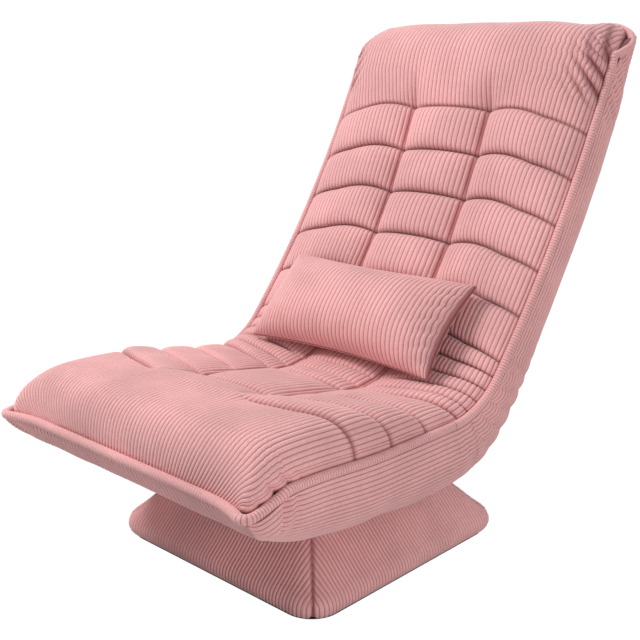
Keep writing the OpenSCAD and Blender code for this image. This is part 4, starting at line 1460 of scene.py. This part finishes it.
@dataclass
class Shell(Upholstery):
    """The fabric-covered tray below the piping: side gussets, underside and rear.

    Attributes:
        side_wales: wales of a gusset.
        under_wales: wales of the underside and rear.
        side_reach: length down a gusset, before half of the depth is added.
        edge: how far below the line the shell starts.
        outline: the section's places from the underside up to the piping, as mm beyond the
            half-width and a share of the depth.
        crook_gathers: gathers of the gussets round the crook.
        head_gathers: gathers of the gussets below the top.
        ear_x: distance of an ear from the middle plane.
        ear_width: half-width of the stretch drawn out to an ear.
        ear_reach: how far it is drawn out.
        probe: length over which the direction of that is taken.
        tracked: number of the point of a ring along which the wales' lengths are measured.
    """

    side_wales: int = 15
    under_wales: int = 50
    side_reach: float = 56 * MM
    edge: float = 5.2 * MM
    outline: tuple = ((-40, 1), (-22, 0.94), (-5, 0.79), (6, 0.53), (8, 0.3), (4, 0))
    crook_gathers: Gathers = Gathers(8 * MM, 26 * MM, 0.35, sunk=0.3)
    head_gathers: Gathers = Gathers(9 * MM, 27 * MM, -0.9, sunk=0.3)
    ear_x: float = 222 * MM
    ear_width: float = 38 * MM
    ear_reach: float = 17 * MM
    probe: float = 10 * MM
    tracked: int = 20

    def nose(self, s: Array) -> Array:
        """Depth of the shell as a share, growing from the front.

        Args:
            s: length along the line.

        Returns:
            The share, 0 to 1.
        """
        reach = self.profile.seat_len / 2
        grown = 0.2 + 0.8 * np.maximum(0, 1 - np.maximum(0, 1 - s / reach) ** 2.2) ** 0.62
        return grown * np.sqrt(clamp((s + 2 * MM) / (16 * MM)))

    def depth(self, s: Array) -> Array:
        """Full depth of the shell: shallower in front, deepest where the crook starts, less up the back.

        Args:
            s: length along the line.

        Returns:
            The depth below the line.
        """
        pr = self.profile

        def eased(low: float, high: float) -> Array:
            """Goes from 0 to 1 between two shares of the seat's length."""
            return smooth((s / pr.seat_len - low) / (high - low))

        lift = pr.front_lift * (1 - eased(0.3, 0.6))
        sag = pr.crook_sag * eased(0.62, 0.86) * (1 - eased(1.12, 1.32))
        return pr.shell_depth - lift + sag - pr.back_taper * eased(1.1, 1.75)

    def section(self, half: float, s: float, edge: float, depth: float) -> Array:
        """A dense section, from the left edge under the pad to the right edge.

        Args:
            half: half the width of the ring.
            s: length along the line.
            edge: how far below the line it starts.
            depth: how far below the line it reaches.

        Returns:
            The points.
        """
        side = [(half + off * MM, share) for off, share in self.outline]
        right = [(0.0, 1.0), (half * 0.5, 1.0)] + side
        curve = curve_through([(-x, share) for x, share in reversed(right[1:])] + right, 14)
        return self.profile.place(curve[:, 0], s, -(edge + (depth - edge) * curve[:, 1]))

    def inner(self, half: float, s: float, edge: float, depth: float, wall: float) -> Array:
        """The hidden inside, from right to left.

        Args:
            half: half the width of the ring.
            s: length along the line.
            edge: how far below the line it starts.
            depth: how far below the line it reaches.
            wall: thickness of the wall.

        Returns:
            The points.
        """
        share = np.array([0.0, 0.4, 0.8, 1.0, 1.0])
        across = np.array([half - 5 * MM, half - 5 * MM, half - 14 * MM, half - 40 * MM, 0.0])
        across = np.concatenate([across, -across[-2::-1]])
        share = np.concatenate([share, share[-2::-1]])
        return self.profile.place(across, s, -(edge + (max(depth - wall, edge + 1 * MM) - edge) * share))

    def skin(self, stations: Sequence[tuple[float, float, float, float, float]], start: float) -> Skin:
        """Lays even wales on the shell.

        Args:
            stations: half-width, length, edge, depth and wall of each ring.
            start: length along the wales at the first ring.

        Returns:
            The skin.
        """
        count = (2 * self.side_wales + self.under_wales) * SAMPLES
        ends = np.array([0, self.side_wales, self.side_wales + self.under_wales, count / SAMPLES]) * SAMPLES
        outer, inner = [], []
        for half, s, edge, depth, wall in stations:
            dense = self.section(half, s, edge, depth)
            run = running_length(dense)
            side = self.side_reach + 0.5 * (depth - self.edge)
            at = np.interp(np.arange(count + 1), ends, [0, side, run[-1] - side, run[-1]])
            outer.append(np.stack([np.interp(at, run, dense[:, k]) for k in range(3)], 1))
            inner.append(self.inner(half, s, edge, depth, wall))
        outer = self.gather(np.array(outer), np.array([st[1] for st in stations]))
        rings = np.concatenate([outer, np.array(inner)], axis=1)
        wale = np.concatenate([np.arange(count + 1), np.full(len(inner[0]), float(count))]) / SAMPLES
        relief = np.concatenate([np.ones(count + 1), np.zeros(len(inner[0]))])
        # The edges beside the piping lie flat, and the finish paints them with crevice shade.
        relief[[0, count]] = 0
        along = start + running_length(outer[:, self.tracked])
        return Skin.woven(rings, wale, along, relief, count + 1)

    def gather(self, outer: Array, s: Array) -> Array:
        """Folds the gussets, and draws the top edge out to the ears.

        The folds lie at the front corners, round the crook and below the top.

        Args:
            outer: visible points of each ring.
            s: length of each ring along the line.

        Returns:
            The moved points.
        """
        pr = self.profile
        run = np.cumsum(np.linalg.norm(np.diff(outer, axis=1, prepend=outer[:, :1]), axis=2), axis=1)
        place = np.minimum(run, run[:, -1:] - run)
        s = s[:, None]
        side = clamp(place / (5 * MM)) * np.exp(-((place / (85 * MM)) ** 4))
        crook = bell(s - (pr.seat_len + 95 * MM), 75 * MM)
        out = crook * side * self.crook_gathers.height(s, place)
        head = smooth((s - pr.wrap_s + 110 * MM) / (60 * MM)) * bell(place, 75 * MM)
        out = out + head * side * self.head_gathers.height(s, place)
        out = out - 4 * MM * smooth((s - pr.wrap_s + 45 * MM) / (45 * MM)) * side
        valley = bell(s - 50 * MM + 0.35 * place, 5.5 * MM) + 0.45 * bell(s - 68 * MM + 0.25 * place, 7 * MM)
        out = out - 10 * MM * valley * bell(place, 42 * MM) * clamp(place / (3 * MM))
        out = out + 6 * MM * bell(s - 26 * MM, 18 * MM) * bell(place - 20 * MM, 26 * MM)
        out = out + 0.9 * MM * ripple(place + 0 * s, s + 0 * place, 21)
        normal = grid_normals(outer)
        outward = outer - outer.mean(axis=1, keepdims=True)
        normal = normal * np.sign((normal * outward).sum(axis=2, keepdims=True))
        ear = bell(np.abs(outer[..., 0]) - self.ear_x, self.ear_width)
        ear = ear * smooth((s - pr.wrap_s - 22 * MM) / (44 * MM))
        ahead = pr.place(0.0, pr.wrap_s + self.probe, 0.0) - pr.place(0.0, pr.wrap_s, 0.0)
        reach = self.ear_reach * ear[..., None] * ahead / np.linalg.norm(ahead)
        return outer + normal * out[..., None] + reach

    def seat(self) -> bpy.types.Object:
        """Makes the shell of the seat.

        Returns:
            The finished piece.
        """
        pr = self.profile
        split = pr.seat_len + 0.3 * pr.crook_len
        places = np.concatenate([96 * MM * (np.arange(52) / 52) ** 1.5, np.linspace(96 * MM, split, 50)])
        stations = []
        for s in places:
            depth = self.edge + (float(self.depth(s)) - self.edge) * float(self.nose(s))
            half = float(pr.half_at(s, pr.half_w))
            stations.append((half, s - 2 * MM * (s == 0), self.edge, depth, 4 * MM))
        skin = self.skin(stations, 0.0)
        return self.dress(skin, "seat_shell_cover", "seat_shell", Slot.SHELL, Body.SEAT, 0.5)

    def crook(self) -> bpy.types.Object:
        """Makes the stretch of shell that bends.

        Returns:
            The finished piece.
        """
        pr = self.profile
        split = pr.seat_len + 0.3 * pr.crook_len
        stations = [(pr.half_w, s, self.edge, float(self.depth(s)), 10 * MM)
                    for s in np.linspace(split, pr.first_row, 34)]
        skin = self.skin(stations, split)
        return self.dress(skin, "crook_shell_cover", "crook_shell", Slot.SHELL, None, 0.5)

    def back(self) -> bpy.types.Object:
        """Makes the shell of the back, closed under the top piping.

        Returns:
            The finished piece.
        """
        pr = self.profile
        stations = [(pr.half_w, s, self.edge, float(self.depth(s)), float(self.depth(s)) - 72 * MM)
                    for s in np.linspace(pr.first_row, pr.wrap_s - 26 * MM, 110)]
        for t in np.linspace(0, 1, 30):
            bent = 1 - math.cos(math.pi / 2 * t)
            half = float(pr.top_half(t, pr.half_w))
            s = mix(pr.wrap_s - 24 * MM, pr.wrap_s + pr.top_reach - self.edge, math.sin(math.pi / 2 * t))
            depth = mix(float(self.depth(pr.wrap_s)), self.edge + pr.top_drop + 6 * MM, bent)
            stations.append((half, s, self.edge + pr.top_drop * bent, depth, 4 * MM))
        skin = self.skin(stations, pr.first_row)
        return self.dress(skin, "back_shell_cover", "back_shell", Slot.SHELL, Body.BACK, 0.5)


# The piping


@dataclass
class Piping:
    """The covered cord sewn round the pad, in one stretch for each body.

    Attributes:
        profile: the line that it follows.
        cords: the tree that sweeps and ribs it.
        finish: its material.
        ear: places of the cord round a top corner in mm: across, beyond the start of the wrap,
            and above the side line. It is pinched in first and then loops out.
    """

    profile: Profile
    cords: GeometryTree
    finish: bpy.types.Material
    ear: tuple = ((270, 2, 0), (268, 17, -1), (270, 27, -13), (273, 43, -29), (269, 60, -42), (256, 76, -49),
                  (229, 88, -53), (205, 87, -55), (180, 79, -54))

    def lay(self, name: str, node: str, paths: Sequence[Array], body: Optional[Body]) -> bpy.types.Object:
        """Makes one stretch of piping.

        Args:
            name: name of the piece.
            node: the solid that it stands for.
            paths: the lines that it follows.
            body: the body that it rides on, or none where it bends.

        Returns:
            The finished piece.
        """
        points, edges = [], []
        for path in paths:
            first = len(points)
            points.extend(path.tolist())
            edges.extend((first + i, first + i + 1) for i in range(len(path) - 1))
        mesh = bpy.data.meshes.new(name)
        mesh.from_pydata(points, edges, [])
        obj = new_object(name, mesh)
        self.cords.apply(obj, self.finish, Cord_radius=self.profile.piping_r)
        point_out(obj.data)
        declare(obj, node, Slot.PIPING, body, self.profile.bend)
        return obj

    @staticmethod
    def both_sides(half: Array) -> Array:
        """A line that goes from one side to the middle, and its mirror image back."""
        return np.vstack([half, half[-2::-1] * [-1, 1, 1]])

    def seat(self) -> bpy.types.Object:
        """Makes the piping of the seat, with its pinched front corners.

        Returns:
            The finished piece.
        """
        pr = self.profile
        r, w, reach = pr.corner_r, pr.half_w, pr.piping_r + pr.gap
        flat = [(w, s, 0.0) for s in np.linspace(pr.seat_len, 78 * MM, 14)]
        flat += [(w + 1 * MM, 64 * MM, 1 * MM), (w + 2.5 * MM, 52 * MM, 2 * MM),
                 (w + 0.5 * MM, 38 * MM, -1 * MM)]
        flat += [(w - r * (1 - math.cos(a)), r - (r + reach) * math.sin(a), 0.0)
                 for a in np.radians([0, 30, 50, 70, 90])]
        flat += [((w - r) * t, -reach, 0.0) for t in np.linspace(0.94, 0, 14)]
        half = curve_through(flat, 8)
        path = pr.place(half[:, 0], half[:, 1], half[:, 2])
        return self.lay("seat_piping_cord", "seat_piping", [self.both_sides(path)], Body.SEAT)

    def crook(self) -> bpy.types.Object:
        """Makes the two stretches of piping that bend.

        Returns:
            The finished piece.
        """
        pr = self.profile
        s = np.linspace(pr.seat_len, pr.first_row, 40)
        right = pr.place(pr.half_w, s, 0.0)
        return self.lay("crook_piping_cord", "crook_piping", [right, right * [-1, 1, 1]], None)

    def back(self) -> bpy.types.Object:
        """Makes the piping of the back, with an ear at each top corner.

        Returns:
            The finished piece.
        """
        pr = self.profile
        flat = [(pr.half_w, s, 0.0) for s in np.linspace(pr.first_row, pr.wrap_s - 24 * MM, 12)]
        flat += [(x * MM, pr.wrap_s + s * MM, n * MM) for x, s, n in self.ear]
        flat += [(150 * MM * t, pr.wrap_s + pr.top_reach, -pr.top_drop) for t in np.linspace(1, 0, 7)]
        half = curve_through(flat, 8)
        path = pr.place(half[:, 0], half[:, 1], half[:, 2])
        return self.lay("back_piping_cord", "back_piping", [self.both_sides(path)], Body.BACK)


# The lumbar pillow


@dataclass
class LumbarPillow(Upholstery):
    """A loose pillow with sharp corners, wales across it and gathers at its ends."""

    width: float = 388 * MM
    height: float = 174 * MM
    front: float = 56 * MM
    rear: float = 24 * MM
    seam: float = 3 * MM
    draw_in: float = 0.06
    wales_across: int = 49
    end_gathers: Gathers = Gathers(4 * MM, 25 * MM, -0.55)
    lean: float = math.radians(4)
    up_the_back: float = 30 * MM
    off_the_line: float = 51.2 * MM
    steps: int = 56

    def surface(self, u: Array, v: Array, side: float) -> Array:
        """Points of the front or rear.

        Args:
            u: place along the pillow, -1 to 1.
            v: place across it, -1 to 1.
            side: 1 for the front, -1 for the rear.

        Returns:
            The points, before the pillow leans.
        """
        bulge = self.front if side > 0 else self.rear
        full = np.maximum(0, (1 - np.abs(u) ** 3.2) * (1 - np.abs(v) ** 2.6)) ** 0.55
        x = self.width / 2 * u * (1 - self.draw_in * (1 - v**2))
        y = self.height / 2 * v * (1 - 2 * self.draw_in * (1 - u**2))
        off = self.width / 2 * (1 - np.abs(u))
        end = bell(off - 8 * MM, 30 * MM) * (1 - v**4) * np.where(u > 0, 1.0, 0.35) * clamp(off / (5 * MM))
        gathers = end * self.end_gathers.height(y, off)
        z = side * (self.seam / 2 + bulge * full + gathers) + 1.5 * MM * full * ripple(x, y, 31)
        return np.stack(np.broadcast_arrays(x, y, z), axis=-1)

    def make(self) -> bpy.types.Object:
        """Makes the pillow and leans it on the back.

        Returns:
            The finished piece.
        """
        pr = self.profile
        dense = np.linspace(-1, 1, 400)
        u = even_places(self.surface(dense, np.zeros(400), 1.0), dense, self.wales_across * SAMPLES)
        v = -np.cos(np.pi * np.arange(self.steps + 1) / self.steps)
        front = self.surface(u[:, None], v[None], 1.0)
        rear = self.surface(u[:, None], v[None, ::-1], -1.0)
        rings = np.concatenate([front, rear], axis=1)
        turn = float(pr.turn(pr.back_start)) - self.lean
        at = pr.place(0.0, pr.back_start + self.up_the_back, self.off_the_line)
        y, z = rings[..., 1].copy(), rings[..., 2].copy()
        rings[..., 1] = y * math.cos(turn) - z * math.sin(turn)
        rings[..., 2] = y * math.sin(turn) + z * math.cos(turn)
        rings = rings + at
        shape = rings.shape[:2]
        wale = np.broadcast_to((np.arange(len(u)) / SAMPLES)[:, None], shape)
        along = np.broadcast_to((np.concatenate([v, v[::-1]]) * self.height / 2 / WALE)[None], shape)
        # Flat lines along the seams and at the ends, which the finish paints with seam shade.
        edge = np.ones(len(v) * 2)
        edge[[0, len(v) - 1, len(v), -1]] = 0
        relief = np.broadcast_to(edge[None], shape) * clamp((1 - np.abs(u[:, None])) / 0.02)
        return self.dress(Skin(rings, wale, along, relief), "lumbar_pillow_cover", "lumbar_pillow",
                          Slot.PILLOW, None, 0.8)


# The base


@dataclass
class BaseCover:
    """The padded cover of the base: four panels whose wales meet at the corner seams."""

    wales: GeometryTree
    finish: bpy.types.Material
    half: float = 223.5 * MM
    low: float = 3.5 * MM
    high: float = 124 * MM
    corner_r: float = 48 * MM
    shrink: float = 0.6
    thickness: float = 8 * MM
    seam_width: float = 2.6 * MM
    seam_sink: float = 3.4 * MM
    outline: tuple = ((0, 0.975), (0.04, 0.995), (0.12, 1.005), (0.22, 0.985), (0.35, 0.915), (0.5, 0.84),
                      (0.65, 0.76), (0.8, 0.665), (1, 0.53))
    curve: Array = field(init=False)

    def __post_init__(self) -> None:
        """Works out the smooth outline."""
        self.curve = curve_through(self.outline, 12)

    def share(self, z: Array) -> Array:
        """Share of the height at z."""
        return (z - self.low) / (self.high - self.low)

    def half_at(self, z: Array) -> Array:
        """Half the width at a height."""
        return self.half * np.interp(self.share(z), self.curve[:, 0], self.curve[:, 1])

    def radius_at(self, z: Array) -> Array:
        """Corner radius at a height."""
        return self.corner_r * (1 - self.shrink * self.share(z))

    def seam_at(self, z: Array) -> Array:
        """Distance of the corner seam from the middle planes at a height."""
        return self.half_at(z) - self.radius_at(z) * (1 - math.sqrt(0.5))

    def panel(self) -> tuple[Array, Array, Array]:
        """The front panel's points, wale counts and lengths along the wales.

        Returns:
            The points as rows by columns, and for each its wale count and its length along the
            wales, in wale widths.
        """
        heights = np.linspace(self.low, self.high, 500)
        widest = heights[np.argmax(self.seam_at(heights))]
        upper = np.linspace(widest, self.high, 400)
        reach = float(self.seam_at(widest))
        count = 2 * int(reach / BASE_WALE) + 1
        x = np.linspace(-reach, reach, count * SAMPLES + 1)
        top = np.interp(np.abs(x), self.seam_at(upper)[::-1], upper[::-1])
        lower_rows = np.linspace(self.low, widest, 7)[:-1]
        rows = []
        for z in lower_rows:
            k = float(self.half_at(z) / self.half_at(widest))
            y = self.across(x, np.full_like(x, widest))
            rows.append(np.stack([x * k, -y * k, np.full_like(x, z)], 1))
        for t in np.linspace(0, 1, 26):
            z = mix(np.full_like(x, widest), top, t)
            rows.append(np.stack([x, -self.across(x, z), z], 1))
        grid = np.array(rows)
        wale = np.broadcast_to(x / BASE_WALE + 0.5, grid.shape[:2])
        along = np.concatenate([np.zeros((1, len(x))), np.cumsum(
            np.linalg.norm(np.diff(grid, axis=0), axis=2), axis=0)]) / WALE
        return grid, wale, along

    def across(self, x: Array, z: Array) -> Array:
        """Distance of the panel from the middle plane, round at the corners.

        Args:
            x: place across the panel.
            z: height.

        Returns:
            The distance.
        """
        half, r = self.half_at(z), self.radius_at(z)
        c = half - r
        over = np.clip(np.abs(x) - c, 0, r)
        return c + np.sqrt(np.maximum(0, r**2 - over**2))

    def make(self) -> bpy.types.Object:
        """Makes the cover.

        Returns:
            The finished piece.
        """
        grid, wale, along = self.panel()
        rows, columns = grid.shape[:2]
        sink = bell(np.minimum(0, np.abs(grid[..., 0]) - self.seam_at(grid[..., 2])), self.seam_width)
        scale = 1 - self.seam_sink * sink / np.linalg.norm(grid[..., :2], axis=2)
        grid[..., :2] *= scale[..., None]
        points, faces, wales, lengths = [], [], [], []
        for quarter in range(4):
            a = quarter * math.pi / 2
            turned = grid.copy()
            turned[..., 0] = grid[..., 0] * math.cos(a) - grid[..., 1] * math.sin(a)
            turned[..., 1] = grid[..., 0] * math.sin(a) + grid[..., 1] * math.cos(a)
            first = quarter * rows * columns
            i = (np.arange(rows - 1)[:, None] * columns + np.arange(columns - 1)[None]).ravel() + first
            faces += np.stack([i, i + 1, i + columns + 1, i + columns], 1).tolist()
            points.append(turned.reshape(-1, 3))
            wales.append(wale.ravel())
            lengths.append(along.ravel())
        # Flat wales along the corner seams, which the finish paints with seam shade.
        relief = clamp(1.15 - np.concatenate([sink.ravel()] * 4))
        mesh = weave_mesh("base_cover_fabric", np.vstack(points), faces, np.concatenate(wales),
                          np.concatenate(lengths), relief)
        bm = bmesh.new()
        bm.from_mesh(mesh)
        bmesh.ops.remove_doubles(bm, verts=bm.verts, dist=1e-5)
        bm.to_mesh(mesh)
        bm.free()
        obj = new_object("base_cover_fabric", mesh)
        wall = obj.modifiers.new("Wall", "SOLIDIFY")
        wall.thickness = self.thickness
        wall.offset = -1
        self.wales.apply(obj, self.finish)
        declare(obj, "base_cover", Slot.CORDUROY, Body.BASE)
        return obj


# Solids that stay


@dataclass(frozen=True)
class Hardware:
    """The frame, swivel and boards, which keep their own shape."""

    nodes: dict
    finishes: dict = field(default_factory=lambda: {
        Slot.ANTI_SLIP: SheetFinish("anti-slip sheet", linear(34, 30, 30)),
        Slot.PLYWOOD: PlyFinish("raw plywood"),
        Slot.PLATE: MetalFinish("pressed steel", (0.55, 0.56, 0.58, 1.0)),
        Slot.BALLS: MetalFinish("bearing steel", (0.75, 0.76, 0.78, 1.0), roughness=0.15),
        Slot.CAGE: MouldedFinish("nylon cage", linear(226, 218, 198)),
        Slot.ZINC: MetalFinish("zinc plate", (0.62, 0.62, 0.60, 1.0), roughness=0.4),
        Slot.PAINT: MetalFinish("black powder coat", (0.02, 0.02, 0.022, 1.0), metallic=0.0, roughness=0.5),
        Slot.WEBBING: SheetFinish("elastic webbing", linear(40, 40, 44), cell=2.5 * MM, dots=False),
    })

    def dress(self, subparts: Sequence[dict]) -> None:
        """Gives every remaining solid its finish.

        Args:
            subparts: the record's nodes with their material slots.
        """
        made = {slot: finish.build() for slot, finish in self.finishes.items()}
        for part in subparts:
            slot = Slot(part["material_slot"])
            if slot in made:
                mesh = self.nodes[part["node"]].data
                mesh.materials.clear()
                mesh.materials.append(made[slot])
                LOG.info("%s: %s", part["node"], made[slot].name)


# The studio


@dataclass(frozen=True)
class Studio:
    """Pale floor, soft lamps and the camera."""

    camera_at: tuple = (1.0976, -1.1295, 0.7664)
    look: tuple = (-0.6669, 0.7019, -0.2500)
    lens: float = 57.57
    lamps: tuple = (((-1.6, -1.15, 2.4), 0.9, 75.0), ((2.6, -0.7, 0.5), 1.2, 27.0),
                    ((0.2, 1.9, 2.2), 1.6, 16.0))
    aim: tuple = (0.0, 0.05, 0.4)
    sky: float = 0.34
    white: float = 1.08
    floor_glow: float = 1.12
    floor_share: float = 0.88
    floor_half: float = 30.0
    sensor: float = 36.0

    def build(self) -> None:
        """Sets up everything round the chair."""
        self.floor()
        self.world()
        for place, size, power in self.lamps:
            self.lamp(place, size, power)
        self.camera()
        bpy.context.scene.view_settings.view_transform = "Standard"

    def floor(self) -> None:
        """Makes the pale floor, which shows white to the camera but for the shadow."""
        tree = ShaderTree("studio floor")
        tree.feed(tree.main, "Base Color", (0.5, 0.5, 0.5, 1.0))
        tree.feed(tree.main, "Roughness", 0.9)
        glow = tree.add("ShaderNodeEmission", {"Color": (1.0, 1.0, 1.0, 1.0), "Strength": self.floor_glow})
        path = tree.add("ShaderNodeLightPath")
        share = tree.math("MULTIPLY", path.outputs["Is Camera Ray"], self.floor_share)
        both = tree.add("ShaderNodeMixShader", {0: share, 1: tree.main.outputs[0], 2: glow.outputs[0]})
        out = next(n for n in tree.tree.nodes if n.type == "OUTPUT_MATERIAL")
        tree.feed(out, 0, both.outputs[0])
        mesh = bpy.data.meshes.new("studio_floor")
        far = self.floor_half
        mesh.from_pydata([(-far, -far, 0), (far, -far, 0), (far, far, 0), (-far, far, 0)], [], [(0, 1, 2, 3)])
        floor = new_object("studio_floor", mesh)
        mesh.materials.append(tree.material)

    def world(self) -> None:
        """Lights the scene evenly, and shows white to the camera."""
        world = bpy.data.worlds.new("studio")
        bpy.context.scene.world = world
        world.use_nodes = True
        tree = Tree(world.node_tree)
        back = world.node_tree.nodes["Background"]
        path = tree.add("ShaderNodeLightPath")
        seen = tree.math("MAXIMUM", path.outputs["Is Camera Ray"], path.outputs["Is Glossy Ray"])
        strength = tree.math("ADD", tree.math("MULTIPLY", seen, self.white - self.sky), self.sky)
        tree.feed(back, "Strength", strength)
        tree.feed(back, "Color", (1.0, 1.0, 1.0, 1.0))

    def lamp(self, place: tuple, size: float, power: float) -> None:
        """Adds a soft square lamp that points at the chair.

        Args:
            place: where it stands.
            size: length of a side.
            power: its power in watts.
        """
        light = bpy.data.lights.new("softbox", "AREA")
        light.size = size
        light.energy = power
        obj = bpy.data.objects.new("softbox", light)
        obj.location = place
        obj.rotation_euler = (Vector(self.aim) - Vector(place)).to_track_quat("-Z", "Y").to_euler()
        bpy.context.scene.collection.objects.link(obj)

    def camera(self) -> None:
        """Adds the camera at the photograph's viewpoint."""
        data = bpy.data.cameras.new("camera")
        data.lens = self.lens
        data.sensor_width = self.sensor
        obj = bpy.data.objects.new("camera", data)
        obj.location = self.camera_at
        obj.rotation_euler = Vector(self.look).to_track_quat("-Z", "Y").to_euler()
        bpy.context.scene.collection.objects.link(obj)
        bpy.context.scene.camera = obj


def main() -> None:
    """Builds the chair and the studio."""
    logging.basicConfig(level=logging.INFO, format="%(message)s")
    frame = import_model()
    profile = Profile()
    wales, cords = WaleTree(), CordTree()
    corduroy = CorduroyFinish("dusty pink corduroy").build()
    pad = TuftedPad(profile, wales, corduroy)
    shell = Shell(profile, wales, corduroy)
    for piece in (pad.seat, pad.crook, pad.back, shell.seat, shell.crook, shell.back):
        piece()
    # The piping's rib grooves are darkened partly as painted shade.
    piping = Piping(profile, cords, CorduroyFinish("ribbed piping", from_attribute=True,
                                                   shaded_groove=linear(186, 116, 118)).build())
    for piece in (piping.seat, piping.crook, piping.back):
        piece()
    LumbarPillow(profile, wales, corduroy).make()
    BaseCover(wales, corduroy).make()
    Hardware(frame["nodes"]).dress(frame["record"]["subparts"])
    Studio().build()


if __name__ == "__main__":
    main()
